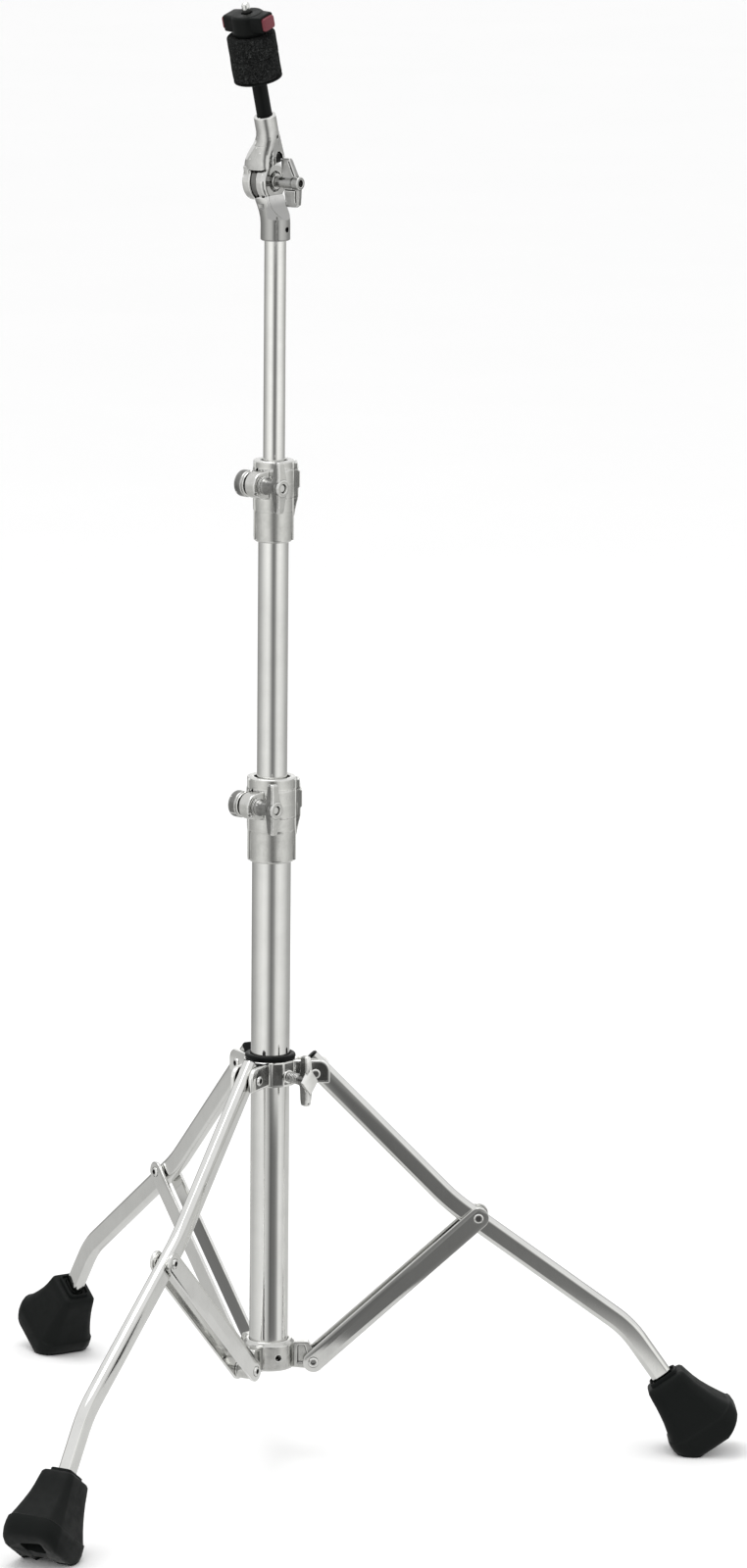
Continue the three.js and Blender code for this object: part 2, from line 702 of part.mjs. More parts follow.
function clampBolt() {
  const headFrom = leftEarFrom + fit;
  const headTo = leftEarFrom + clampHeadDepth - fit / 2;
  return turnedAlongX([
    [0, headFrom], [clampHeadRadius - hubBevel, headFrom], [clampHeadRadius, headFrom + hubBevel],
    [clampHeadRadius, headTo], [boltRadius, headTo], [boltRadius, nutEnd - 1.4], [0, nutEnd - 1.4],
  ], screwSides);
}

function clampWingNut() {
  const flare = 6.4;
  const neck = 4.6;
  const hubFront = 6;
  const hole = boltRadius + fit;
  const profile = [
    [hole, nutFrom], [flare, nutFrom], [flare, nutFrom + past], [neck, nutFrom + past * past],
    [neck, nutEnd - hubFront - past], [hubFront, nutEnd - hubFront], [hubFront, nutEnd - hubBevel],
    [hubFront - hubBevel, nutEnd], [hole, nutEnd],
  ];
  const blade = {
    reach: 18.8, thick: 6, rounding: 1.6,
    rootFrom: nutEnd - 7.6, rootTo: nutEnd, tipFrom: nutEnd - 6.6, tipTo: nutEnd - 2.2,
  };
  const bolt = turnedAlongX(rod(hole, nutFrom - past, nutEnd + past), screwSides);
  return wing(profile, castSides / 2, blade).subtract(bolt);
}

function clampBushing(c) {
  const inner = c.inner + fit;
  const insideTube = c.tube - (c.tube === baseRadius ? baseWall : middleWall) - fit;
  const top = c.rimTop - 6;
  return turned([
    [inner, -bandHalf * past], [insideTube, -bandHalf * past], [insideTube, c.tubeTop + fit],
    [c.tube - fit, c.tubeTop + fit], [c.tube - fit, top], [inner, top],
  ], tubeSides);
}

// A round tube standing on +Z
function tube(outer, wall, from, to) {
  return turned(ring(outer - wall, outer, from, to), tubeSides);
}

// Tilter: the hinge axis is +X in its frame, the discs lie on the -X side of the tube axis
const tilterAzimuth = -38;
const restTilt = 16.2;
const discRadius = 14.4;
const discGap = 0.6;
const baseDiscFrom = -7.4;
const baseDiscTo = 0;
const headDiscFrom = -19.6;
const headDiscTo = -12.8;
const frictionRadius = 13.3;
const socketOuter = 10.8;
const socketGrip = 14.2;
const socketRoof = 1.8;
const socketBottom = -tilterAboveTube - socketGrip;
const neckFoot = -tilterAboveTube + socketRoof;
const neckTop = -10;
const neckLean = -5;
const rodOffset = 0.4;
const headSocketTop = 51;
const headSocketRadius = 8.1;
const rodRadius = 3;
const sleeveRadius = 5.5;
const tilterScrewBelowTube = 6;
const tilterScrewHeight = -tilterAboveTube - tilterScrewBelowTube;
const ovalCount = 20;

// An oval ring in the XY plane at a height, its centre given
function ovalRing(centreX, centreY, halfX, halfY, height, power = 1) {
  const points = [];
  for (let i = 0; i < ovalCount; i += 1) {
    const angle = (full * i) / ovalCount;
    const c = Math.cos(angle);
    const s = Math.sin(angle);
    const x = Math.sign(c) * Math.abs(c) ** power;
    const y = Math.sign(s) * Math.abs(s) ** power;
    points.push([centreX + halfX * x, centreY + halfY * y, height]);
  }
  return points;
}

const boxy = 0.55;

// Ovals from foot to top, as shares: lean, half sizes in X and Y, height; then how boxy
const neckShares = [
  [0, 1, 1, 0, 1],
  [0.48, 1.074, 0.963, 0.494, 0.9],
  [0.92, 1.056, 0.981, 0.864, 0.8],
  [1, 0.778, 0.889, 1, boxy],
];
const crownShares = [
  [1, 1, 1.018, 0, boxy],
  [1, 1, 1, 0.161, boxy],
  [0.786, 0.964, 0.929, 0.343, 0.7],
  [0.405, 0.857, 0.821, 0.562, 0.85],
  [0.071, 0.768, 0.75, 0.781, 1],
];

function ovalRings(shares, lean, halfSize, foot, top) {
  return shares.map(([leanShare, xShare, yShare, heightShare, power]) => ovalRing(
    lean * leanShare, 0, halfSize * xShare, halfSize * yShare, foot + (top - foot) * heightShare, power,
  ));
}

function tilterBase() {
  const neck = loft([
    ovalRing(0, 0, socketOuter - hubBevel, socketOuter - hubBevel, socketBottom),
    ovalRing(0, 0, socketOuter, socketOuter, socketBottom + hubBevel),
    ...ovalRings(neckShares, neckLean, socketOuter, neckFoot, neckTop),
  ]);
  const disc = turnedAlongX(bevelledRod(discRadius, baseDiscFrom, baseDiscTo, hubBevel), castSides);
  const clear = turnedAlongX(rod(discRadius + discGap, headDiscFrom - past * past, baseDiscFrom), castSides);
  const front = turnedAlongX(rod(discRadius + discGap, baseDiscTo, socketOuter + past), castSides);
  const sweep = turnedAlongX(rod(tilterWingReach + discGap, tilterWingFrom, socketOuter + past), castSides);
  const bore = turned(rod(topRadius + fit, socketBottom - past, topTubeTop - tilterHeight + fit), tubeSides);
  const bolt = turnedAlongX(rod(boltRadius + fit, headDiscFrom, past), screwSides);
  const counter = turnedAlongX(ring(boltRadius + grooveInner, boltRadius + grooveOuter, -fit * past, past), castSides);
  const screw = turnedAlongX(rod(setScrewRadius + fit, 0, socketOuter + past), screwSides, [0, 0, tilterScrewHeight]);
  return neck.subtract(clear).subtract(front).subtract(sweep).add(disc)
    .subtract(bore).subtract(bolt).subtract(counter).subtract(screw);
}

function frictionDisc() {
  const from = headDiscTo + fit;
  const to = baseDiscFrom - fit;
  return turnedAlongX(ring(boltRadius + fit, frictionRadius, from, to), castSides);
}

// A flat web on the bolt's side of the head, from its foot [x, y] corners to its narrower top
function headWeb() {
  const foot = discRadius + discGap;
  return loft([
    [[neckLean, webFootFrom], [webFootReach, webFootFrom], [webFootReach, webFootTo], [neckLean, webFootTo]]
      .map(([x, y]) => [x, y, foot]),
    [[neckLean, webTopFrom], [webTopReach, webTopFrom], [webTopReach, webTopTo], [neckLean, webTopTo]]
      .map(([x, y]) => [x, y, foot + webHeight]),
  ]);
}

// The head stands upright here; its group leans it to the rest angle
function tilterHead() {
  const crown = loft([
    ...ovalRings(crownShares, crownLean, crownHalf, discRadius - crownSink, discRadius + crownHeight),
    ovalRing(rodOffset, 0, headSocketRadius, headSocketRadius, discRadius + crownHeight),
    ovalRing(rodOffset, 0, headSocketRadius, headSocketRadius, headSocketTop - hubBevel),
    ovalRing(rodOffset, 0, headSocketRadius - hubBevel, headSocketRadius - hubBevel, headSocketTop),
  ]);
  const disc = turnedAlongX(bevelledRod(discRadius, headDiscFrom, headDiscTo, hubBevel), castSides);
  const cheekX = (headDiscFrom + headDiscTo) / 2;
  const cheekHalf = (headDiscTo - headDiscFrom) / 2;
  const cheek = loft([
    ovalRing(cheekX, 0, cheekHalf, discRadius - discBevel * past, 0, boxy),
    ovalRing(cheekX, 0, cheekHalf, crownHalf, discRadius, boxy),
  ]);
  const clear = turnedAlongX(rod(discRadius + discGap, headDiscTo, socketOuter + past), castSides);
  const bolt = turnedAlongX(rod(boltRadius + fit, headDiscFrom - past, headDiscTo + past), screwSides);
  const nutPocket = turnedAlongX(rod(barrelRadius + fit, headDiscFrom - past, headDiscFrom + barrelDepth), 6);
  const bore = turned(rod(rodRadius + fit, rodBottom - fit, headSocketTop + past), castSides / 2)
    .translate([rodOffset, 0, 0]);
  const mouth = turned(rod(sleeveRadius + fit, sleeveBottom - fit, headSocketTop + past), castSides / 2)
    .translate([rodOffset, 0, 0]);
  return crown.add(headWeb()).subtract(clear).add(disc).add(cheek)
    .subtract(bolt).subtract(nutPocket).subtract(bore).subtract(mouth);
}

const discBevel = 0.9;
const grooveInner = 1.5;
const grooveOuter = 3.4;
const crownLean = -8.4;
const crownHalf = 11.2;
const crownSink = 2.4;
const crownHeight = 25;
const webHeight = 31;
const webFootReach = 3.8;
const webFootFrom = -3.9;
const webFootTo = 11;
const webTopReach = 6.6;
const webTopFrom = -0.8;
const webTopTo = 5.2;
const barrelRadius = 5.4;
const barrelDepth = 3.6;
const rodBottom = 24;
const rodTop = 136;
const sleeveBottom = 40;
const sleeveShoulder = 77.5;
const sleeveTop = 100;
const sleeveNeck = 4.6;
const seatTop = 79.9;
const feltRadius = 17.6;
const feltBottom = 80.2;
const feltSplit = 96;
const feltTop = 112.1;
const feltRounding = 1.2;
const seatRadius = 17.5;
const rodDomes = [[0, 2.4], [0.5, 1], [1.4, 0.2]];

function barrelNut() {
  const from = headDiscFrom + fit;
  const to = headDiscFrom + barrelDepth - fit;
  const bore = turnedAlongX(rod(boltRadius + fit, from - past, to + past), screwSides);
  return turnedAlongX(rod(barrelRadius, from, to), 6).subtract(bore);
}

function tilterWingBolt() {
  const neck = 4;
  const hubFront = 4.8;
  const end = 22.6;
  const profile = [
    [0, headDiscFrom + fit], [boltRadius, headDiscFrom + fit], [boltRadius, tilterWasherTo + fit],
    [neck, tilterWasherTo + fit], [neck, end - hubFront - past], [hubFront, end - hubFront],
    [hubFront, end - hubBevel], [hubFront - hubBevel, end], [0, end],
  ];
  const blade = {
    reach: tilterWingReach, thick: 4.4, rounding: 2,
    rootFrom: end - 17, rootTo: end, tipFrom: tilterWingFrom + fit, tipTo: end - 5.4,
  };
  const dimple = turnedAlongX(rod(boltRadius - fit, end - past, end + past), screwSides);
  return wing(profile, castSides / 2, blade).subtract(dimple);
}

const tilterWasherTo = 1.5;
const tilterWingReach = 17.4;
const tilterWingFrom = 8.8;

function tilterWasher() {
  return turnedAlongX(ring(boltRadius + fit, boltRadius + 2.6, fit, tilterWasherTo), castSides);
}

function cymbalRod() {
  const dome = rodDomes.map(([inset, drop]) => [rodRadius - inset, rodTop - drop]);
  return turned([[0, rodBottom], [rodRadius, rodBottom], ...dome, [0, rodTop]], castSides / 2);
}

function rodSleeve() {
  return turned([
    [rodRadius + fit, sleeveBottom], [sleeveRadius, sleeveBottom], [sleeveRadius, sleeveShoulder],
    [sleeveNeck, sleeveShoulder], [sleeveNeck, sleeveTop], [rodRadius + fit, sleeveTop],
  ], castSides / 2);
}

function feltSeat() {
  const low = sleeveShoulder + fit;
  return turned([
    [sleeveNeck + fit, low], [seatRadius - 1, low], [seatRadius, low + 1],
    [seatRadius, seatTop], [sleeveNeck + fit, seatTop],
  ]);
}

function feltPad(from, to) {
  return turned(bevelledRing(sleeveNeck + fit, feltRadius, from, to, feltRounding));
}

// Quick-release nut: long body along X with a push button in each end
const nutHalfLength = 17.2;
const nutMiddle = 12.2;
const nutSkirt = 12.6;
const nutRootHalf = 9.4;
const nutEndHalf = 6.8;
const nutBevel = 0.8;
const nutRecess = 4.2;
const nutRecessDepth = 1.2;
const nutBottom = feltTop + 0.4;
const nutTop = 128;
const nutWaist = 115.4;
const buttonLow = 116.6;
const buttonHigh = 126;
const buttonHalf = 6.2;
const buttonDepth = 5;
const buttonProud = 2;

// The nut's round middle and the lobes that hold the buttons, seen from above
function nutLobes() {
  const length = nutHalfLength - nutBevel;
  const shape = new THREE.Shape();
  shape.moveTo(-length, -nutEndHalf);
  shape.lineTo(0, -nutRootHalf);
  shape.lineTo(length, -nutEndHalf);
  shape.lineTo(length, nutEndHalf);
  shape.lineTo(0, nutRootHalf);
  shape.lineTo(-length, nutEndHalf);
  shape.closePath();
  return shape;
}

function nutBody() {
  const lobes = new THREE.ExtrudeGeometry(nutLobes(), {
    depth: nutTop - nutWaist - nutBevel * 2, bevelEnabled: true, bevelSize: nutBevel, bevelThickness: nutBevel,
    bevelSegments: 1,
  });
  const middle = turned([
    [0, nutBottom], [nutSkirt, nutBottom], [nutSkirt, nutWaist], [nutMiddle, nutWaist + nutBevel],
    [nutMiddle, nutTop - nutBevel], [nutMiddle - nutBevel, nutTop], [0, nutTop],
  ]);
  let body = middle.add(solid(placed(lobes, [0, 0, nutWaist + nutBevel])));
  body = body.subtract(turned(rod(rodRadius + fit, nutBottom - past, nutTop + past), castSides / 2));
  body = body.subtract(turned(rod(nutRecess, nutTop - nutRecessDepth, nutTop + past), castSides / 2));
  for (const side of [-1, 1]) {
    const deep = side * (nutHalfLength - buttonDepth);
    const open = side * (nutHalfLength + past);
    body = body.subtract(box(
      [Math.min(deep, open), -buttonHalf - fit, buttonLow - fit],
      [Math.max(deep, open), buttonHalf + fit, buttonHigh + fit],
    ));
  }
  return body;
}

function nutButton(side) {
  const deep = side * (nutHalfLength - buttonDepth + past);
  const open = side * (nutHalfLength + buttonProud);
  const outline = roundedOutline((buttonHigh - buttonLow) / 2, buttonHalf, 2);
  const middle = (buttonHigh + buttonLow) / 2;
  const levels = [[deep, 1], [open - side * 0.6, 1], [open, 0.9]];
  return loft(levels.map(([x, share]) => outline.map(([up, wide]) => [x, wide * share, middle + up * share])));
}

// Assembly
const stand = new THREE.Group();

function add(parent, name, body, material) {
  const mesh = piece(name, body, material);
  parent.add(mesh);
  return mesh;
}

function group(parent, move, turn = [0, 0, 0]) {
  const result = new THREE.Group();
  result.position.set(move[0], move[1], move[2]);
  result.rotation.set(turn[0], turn[1], turn[2]);
  parent.add(result);
  return result;
}

add(stand, 'base_tube', tube(baseRadius, baseWall, baseTubeBottom, baseTubeTop), chrome);
add(stand, 'brace_hub', hubBody(), satin);
const hubScrewFrame = group(stand, [0, 0, hubScrewHeight], [0, 0, radians(hubScrewAzimuth)]);
add(hubScrewFrame, 'hub_set_screw', setScrew(baseRadius + fit, hubRadius - setScrewInset), steel);

for (const [name, azimuth] of Object.entries(legAzimuths)) {
  const frame = group(stand, [0, 0, 0], [0, 0, radians(azimuth)]);
  add(frame, `leg_${name}`, legBody(), chrome);
  add(frame, `leg_plug_${name}`, legPlug(), plastic);
  add(frame, `foot_${name}`, bootBody(), rubber);
  const braceFrame = group(frame, [pivotRadius, 0, hubPivotHeight], [0, -braceAngle, 0]);
  add(braceFrame, `brace_${name}_a`, braceBar(-1), chrome);
  add(braceFrame, `brace_${name}_b`, braceBar(1), chrome);
  const hubPin = group(frame, [pivotRadius, 0, hubPivotHeight]);
  add(hubPin, `hub_screw_${name}`, pivotScrew(barOuter + fit / 2), steel);
  const kneePin = group(frame, [kneeRadius, 0, kneeHeight]);
  add(kneePin, `knee_screw_${name}`, pivotScrew(barOuter + fit / 2), steel);
  const collarPin = group(frame, [pivotRadius, 0, collarPivotHeight]);
  add(collarPin, `collar_screw_${name}`, pivotScrew(earOuter + fit / 2), steel);
}

add(stand, 'leg_collar', collarBody(), chrome);
add(stand, 'collar_bushing', collarBushing(), plastic);
const collarBoltFrame = group(stand, [0, 0, collarBoltHeight], [0, 0, radians(collarBoltAzimuth)]);
add(collarBoltFrame, 'collar_wing_bolt', collarWingBolt(), satin);

for (const [name, c, height] of [['lower', lowerClamp, lowerClampHeight], ['upper', upperClamp, upperClampHeight]]) {
  const frame = group(stand, [0, 0, height], [0, 0, radians(clampBoltAzimuth)]);
  add(frame, `${name}_clamp`, clampBody(c), satin);
  add(frame, `${name}_clamp_bushing`, clampBushing(c), plastic);
  const boltFrame = group(frame, [0, -c.boltOffset, 0]);
  add(boltFrame, `${name}_clamp_bolt`, clampBolt(), steel);
  const washerProfile = ring(boltRadius + fit, washerRadius, washerFrom, washerTo);
  add(boltFrame, `${name}_clamp_washer`, turnedAlongX(washerProfile, castSides), steel);
  add(boltFrame, `${name}_clamp_wing_nut`, clampWingNut(), satin);
}

add(stand, 'middle_tube', tube(middleRadius, middleWall, middleTubeBottom, middleTubeTop), chrome);
const middleGuideOuter = baseRadius - baseWall - fit;
const middleGuide = ring(middleRadius + fit, middleGuideOuter, middleTubeBottom, middleTubeBottom + 14);
add(stand, 'middle_tube_guide', turned(middleGuide), plastic);
add(stand, 'top_tube', tube(topRadius, topWall, topTubeBottom, topTubeTop), chrome);
const topGuideOuter = middleRadius - middleWall - fit;
const topGuide = ring(topRadius + fit, topGuideOuter, topTubeBottom, topTubeBottom + 12);
add(stand, 'top_tube_guide', turned(topGuide), plastic);

const tilter = group(stand, [0, 0, tilterHeight], [0, 0, radians(tilterAzimuth)]);
add(tilter, 'tilter_base', tilterBase(), satin);
const tilterScrewFrame = group(tilter, [0, 0, tilterScrewHeight]);
add(tilterScrewFrame, 'tilter_set_screw', setScrew(topRadius + fit, socketOuter - setScrewInset), steel);
add(tilter, 'tilter_friction_disc', frictionDisc(), satin);
add(tilter, 'tilter_washer', tilterWasher(), steel);
add(tilter, 'tilter_wing_bolt', tilterWingBolt(), satin);

const head = group(tilter, [0, 0, 0], [radians(restTilt), 0, 0]);
add(head, 'tilter_head', tilterHead(), satin);
add(head, 'tilter_barrel_nut', barrelNut(), steel);
const rodFrame = group(head, [rodOffset, 0, 0]);
add(rodFrame, 'cymbal_rod', cymbalRod(), chrome);
add(rodFrame, 'rod_sleeve', rodSleeve(), plastic);
add(rodFrame, 'felt_seat', feltSeat(), plastic);
add(rodFrame, 'lower_felt', feltPad(feltBottom, feltSplit), felt);
add(rodFrame, 'upper_felt', feltPad(feltSplit + fit, feltTop), felt);
add(rodFrame, 'quick_release_nut', nutBody(), plastic);
add(rodFrame, 'nut_button_left', nutButton(-1), crimson);
add(rodFrame, 'nut_button_right', nutButton(1), crimson);

// The origin is the middle of the bounding box's underside
stand.updateMatrixWorld(true);
const bounds = new THREE.Box3().setFromObject(stand, true);
const middle = bounds.getCenter(new THREE.Vector3());
const root = new THREE.Group();
stand.position.set(-middle.x, -middle.y, -bounds.min.z);
root.add(stand);

export default root;
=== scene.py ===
"""Looks of a straight cymbal stand with a folding double-braced tripod, a tilter and a felted rod.

Sizes in the forms are millimetres in each piece's own frame; finished meshes are metres in the stand's frame.
"""
import json
import math

import bmesh
import bpy
from mathutils import Matrix, Vector


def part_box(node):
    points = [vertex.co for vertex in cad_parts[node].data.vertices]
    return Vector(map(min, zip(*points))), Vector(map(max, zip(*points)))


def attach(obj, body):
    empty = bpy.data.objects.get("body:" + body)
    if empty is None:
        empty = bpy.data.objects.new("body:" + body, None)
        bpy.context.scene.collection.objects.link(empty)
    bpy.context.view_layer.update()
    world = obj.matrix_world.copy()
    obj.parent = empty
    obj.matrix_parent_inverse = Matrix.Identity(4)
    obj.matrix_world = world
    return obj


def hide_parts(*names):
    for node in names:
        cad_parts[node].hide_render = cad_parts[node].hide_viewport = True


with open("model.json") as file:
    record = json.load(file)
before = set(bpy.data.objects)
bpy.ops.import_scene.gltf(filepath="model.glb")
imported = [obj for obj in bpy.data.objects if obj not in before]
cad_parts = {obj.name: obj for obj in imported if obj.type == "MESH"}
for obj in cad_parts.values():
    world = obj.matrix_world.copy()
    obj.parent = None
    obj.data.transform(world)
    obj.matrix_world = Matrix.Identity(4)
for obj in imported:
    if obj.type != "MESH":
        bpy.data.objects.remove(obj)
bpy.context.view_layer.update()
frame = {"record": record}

bl_info = {
    "name": "Straight cymbal stand",
    "version": (1, 0, 0),
    "blender": (4, 5, 0),
    "location": "3D View > Sidebar > Cymbal stand",
    "description": "Builds the chromed tubes, castings, rubber boots and felts of a straight cymbal stand",
    "category": "Object",
}

MILLIMETRE = 0.001
TO_METRES = Matrix.Scale(MILLIMETRE, 4)
TO_MILLIMETRES = Matrix.Scale(1 / MILLIMETRE, 4)
# Gap around a shaft in its hole, radius of the bolts' holes, and radius of what sits on the base tube
FIT = 0.3
BOLT_HOLE = 3.3
BASE_BORE = 14.59
AZIMUTHS = {"right": 0.0, "rear": 120.0, "front": 240.0}


# Sizes and colours that a user would change
class TubeSizes(bpy.types.PropertyGroup):
    base_radius: bpy.props.FloatProperty(
        name="Base tube radius", description="Outer radius of the base tube", default=0.01429,
        subtype="DISTANCE", unit="LENGTH")
    middle_radius: bpy.props.FloatProperty(
        name="Middle tube radius", description="Outer radius of the middle tube", default=0.01111,
        subtype="DISTANCE", unit="LENGTH")
    top_radius: bpy.props.FloatProperty(
        name="Top tube radius", description="Outer radius of the top tube", default=0.00794,
        subtype="DISTANCE", unit="LENGTH")
    lip: bpy.props.FloatProperty(
        name="Tube lip", description="Rounding of the tubes' cut ends", default=0.0004,
        subtype="DISTANCE", unit="LENGTH")


class LegSizes(bpy.types.PropertyGroup):
    depth: bpy.props.FloatProperty(
        name="Leg depth", description="Leg tube across, in the plane of the leg", default=0.0156,
        subtype="DISTANCE", unit="LENGTH")
    width: bpy.props.FloatProperty(
        name="Leg width", description="Leg tube across, square to the plane of the leg", default=0.0095,
        subtype="DISTANCE", unit="LENGTH")
    corner: bpy.props.FloatProperty(
        name="Leg corner", description="Corner radius of the leg tube", default=0.0036,
        subtype="DISTANCE", unit="LENGTH")
    first_bend: bpy.props.FloatProperty(
        name="First bend", description="Radius of the bend below the knee", default=0.150,
        subtype="DISTANCE", unit="LENGTH")
    second_bend: bpy.props.FloatProperty(
        name="Second bend", description="Radius of the bend above the boot", default=0.078,
        subtype="DISTANCE", unit="LENGTH")
    bar_edge: bpy.props.FloatProperty(
        name="Bar edge", description="Rounding along the edges of the brace bars", default=0.00045,
        subtype="DISTANCE", unit="LENGTH")


class ScrewSizes(bpy.types.PropertyGroup):
    head_radius: bpy.props.FloatProperty(
        name="Head radius", description="Radius of a pivot screw's head", default=0.0037,
        subtype="DISTANCE", unit="LENGTH")
    head_height: bpy.props.FloatProperty(
        name="Head height", description="How far a head stands out of the bar", default=0.0013,
        subtype="DISTANCE", unit="LENGTH")
    drive_radius: bpy.props.FloatProperty(
        name="Drive radius", description="Radius of the key recess", default=0.0020,
        subtype="DISTANCE", unit="LENGTH")


class CastingSizes(bpy.types.PropertyGroup):
    grain: bpy.props.FloatProperty(
        name="Casting grain", description="Spacing of the mesh that softens the castings", default=0.00045,
        min=0.0002, subtype="DISTANCE", unit="LENGTH")
    softening: bpy.props.IntProperty(
        name="Softening", description="Smoothing passes over the castings' edges", default=4, min=0, max=20)


class FeltSizes(bpy.types.PropertyGroup):
    radius: bpy.props.FloatProperty(
        name="Felt radius", description="Radius of the two felts", default=0.0177,
        subtype="DISTANCE", unit="LENGTH")
    fuzz: bpy.props.FloatProperty(
        name="Felt fuzz", description="Unevenness of the felts' surface", default=0.00022,
        subtype="DISTANCE", unit="LENGTH")


class FinishColours(bpy.types.PropertyGroup):
    chrome: bpy.props.FloatVectorProperty(
        name="Chrome", description="Colour of the plated tubes and bars", size=3, subtype="COLOR",
        default=(0.72, 0.72, 0.705), min=0, max=1)
    casting: bpy.props.FloatVectorProperty(
        name="Casting", description="Colour of the satin castings", size=3, subtype="COLOR",
        default=(0.60, 0.60, 0.58), min=0, max=1)
    steel: bpy.props.FloatVectorProperty(
        name="Steel", description="Colour of screws and washers", size=3, subtype="COLOR",
        default=(0.66, 0.66, 0.645), min=0, max=1)
    plastic: bpy.props.FloatVectorProperty(
        name="Black plastic", description="Colour of the sleeve, nut and bushings", size=3, subtype="COLOR",
        default=(0.0042, 0.0050, 0.0047), min=0, max=1)
    rubber: bpy.props.FloatVectorProperty(
        name="Rubber", description="Colour of the boots", size=3, subtype="COLOR",
        default=(0.0058, 0.0070, 0.0066), min=0, max=1)
    felt: bpy.props.FloatVectorProperty(
        name="Felt", description="Ground colour of the felts", size=3, subtype="COLOR",
        default=(0.0034, 0.0037, 0.0037), min=0, max=1)
    crimson: bpy.props.FloatVectorProperty(
        name="Crimson", description="Colour of the two push buttons", size=3, subtype="COLOR",
        default=(0.150, 0.030, 0.040), min=0, max=1)


class StudioSettings(bpy.types.PropertyGroup):
    surround: bpy.props.FloatProperty(
        name="Surround", description="Brightness of the white surround", default=1.0, min=0)
    tent: bpy.props.FloatProperty(
        name="Light tent", description="Brightness of the tent that the chrome reflects", default=1.0, min=0)
    key_light: bpy.props.FloatProperty(
        name="Overhead light", description="Power of the soft light overhead", default=24.0, min=0,
        unit="POWER")


def mm(length):
    """A length in metres as millimetres."""
    return length / MILLIMETRE


# Outlines and solids
def rounded_path(corners, steps=5):
    """Outline points from corners (x, y) or (x, y, radius)."""
    points = []
    count = len(corners)
    for index, corner in enumerate(corners):
        here = Vector(corner[:2])
        radius = corner[2] if len(corner) > 2 else 0
        if not radius:
            points.append(tuple(here))
            continue
        inward = Vector(corners[index - 1][:2]) - here
        outward = Vector(corners[(index + 1) % count][:2]) - here
        half_angle = inward.angle(outward) / 2
        reach = min(radius / math.tan(half_angle), inward.length * 0.49, outward.length * 0.49)
        bend = reach * math.tan(half_angle)
        start = here + inward.normalized() * reach
        end = here + outward.normalized() * reach
        middle = (inward.normalized() + outward.normalized()).normalized()
        centre = here + middle * (bend / math.sin(half_angle))
        for step in range(steps + 1):
            share = step / steps
            spoke = (start - centre) * (1 - share) + (end - centre) * share
            points.append(tuple(centre + spoke.normalized() * bend))
    return points


def rounded_box(half_x, half_y, corner, steps=5):
    signs = [(1, 1), (-1, 1), (-1, -1), (1, -1)]
    return rounded_path([(along * half_x, across * half_y, corner) for along, across in signs], steps)


def mesh_of(form):
    """Closes a bmesh into a mesh whose faces point outwards."""
    bmesh.ops.remove_doubles(form, verts=form.verts, dist=1e-5)
    bmesh.ops.recalc_face_normals(form, faces=form.faces)
    mesh = bpy.data.meshes.new("form")
    form.to_mesh(mesh)
    form.free()
    return mesh


def turned(profile, sides=72, steps=5):
    """A turned solid about Z; its profile corners are (radius, height) or (radius, height, rounding)."""
    form = bmesh.new()
    rings = []
    for radius, height in rounded_path(profile, steps):
        if radius < 1e-6:
            rings.append([form.verts.new((0, 0, height))])
            continue
        ring = []
        for side in range(sides):
            angle = 2 * math.pi * side / sides
            ring.append(form.verts.new((radius * math.cos(angle), radius * math.sin(angle), height)))
        rings.append(ring)
    for first, second in zip(rings, rings[1:] + rings[:1]):
        if len(first) == 1 and len(second) == 1:
            continue
        for side in range(sides):
            after = (side + 1) % sides
            corners = [
                first[side % len(first)], first[after % len(first)],
                second[after % len(second)], second[side % len(second)],
            ]
            form.faces.new(list(dict.fromkeys(corners)))
    return mesh_of(form)


def lofted(rings):
    """A skin through rings of equal point counts, closed at both ends."""
    form = bmesh.new()
    rows = [[form.verts.new(point) for point in ring] for ring in rings]
    count = len(rows[0])
    for low, high in zip(rows, rows[1:]):
        for index in range(count):
            after = (index + 1) % count
            form.faces.new([low[index], low[after], high[after], high[index]])
    form.faces.new(rows[0])
    form.faces.new(rows[-1])
    return mesh_of(form)


def plate(outline, near, far):
    """A plate with its outline in the XZ plane, from near to far along Y."""
    return lofted([[(x, depth, z) for x, z in outline] for depth in (near, far)])


def slab(outline, low, high):
    """A plate with its outline in the XY plane, from low to high."""
    return lofted([[(x, y, height) for x, y in outline] for height in (low, high)])


def block(low, high):
    """A box between two corners."""
    corners = [(low[0], low[1]), (high[0], low[1]), (high[0], high[1]), (low[0], high[1])]
    return slab(corners, low[2], high[2])


def moved(mesh, *steps):
    """The mesh after each step, first to last."""
    for step in steps:
        mesh.transform(step)
    return mesh


def shift(x, y=0.0, z=0.0):
    return Matrix.Translation((x, y, z))


def turn(degrees, axis):
    return Matrix.Rotation(math.radians(degrees), 4, axis)


ALONG_X = turn(90, "Y")
ALONG_Y = turn(-90, "X")


def turned_along_x(profile, sides=48, steps=4):
    return moved(turned(profile, sides, steps), ALONG_X)


def turned_along_y(profile, sides=48, steps=4):
    return moved(turned(profile, sides, steps), ALONG_Y)


def rod(radius, low, high, rounding=0.0):
    """The profile of a solid rod about Z, between two heights."""
    return [(0, low), (radius, low, rounding), (radius, high, rounding), (0, high)]


def peg_x(radius, low, high, rounding=0.0, sides=48):
    """A round peg along X."""
    return turned_along_x(rod(radius, low, high, rounding), sides)


def peg_y(radius, low, high, rounding=0.0):
    """A round peg along Y."""
    return turned_along_y(rod(radius, low, high, rounding))


def tube_profile(inner, outer, low, high, rounding=0.0):
    """The profile of a ring about Z, between two radii and two heights."""
    return [(inner, low, rounding), (outer, low, rounding), (outer, high, rounding), (inner, high, rounding)]


def placed_object(name, data):
    made = bpy.data.objects.new(name, data)
    bpy.context.scene.collection.objects.link(made)
    return made


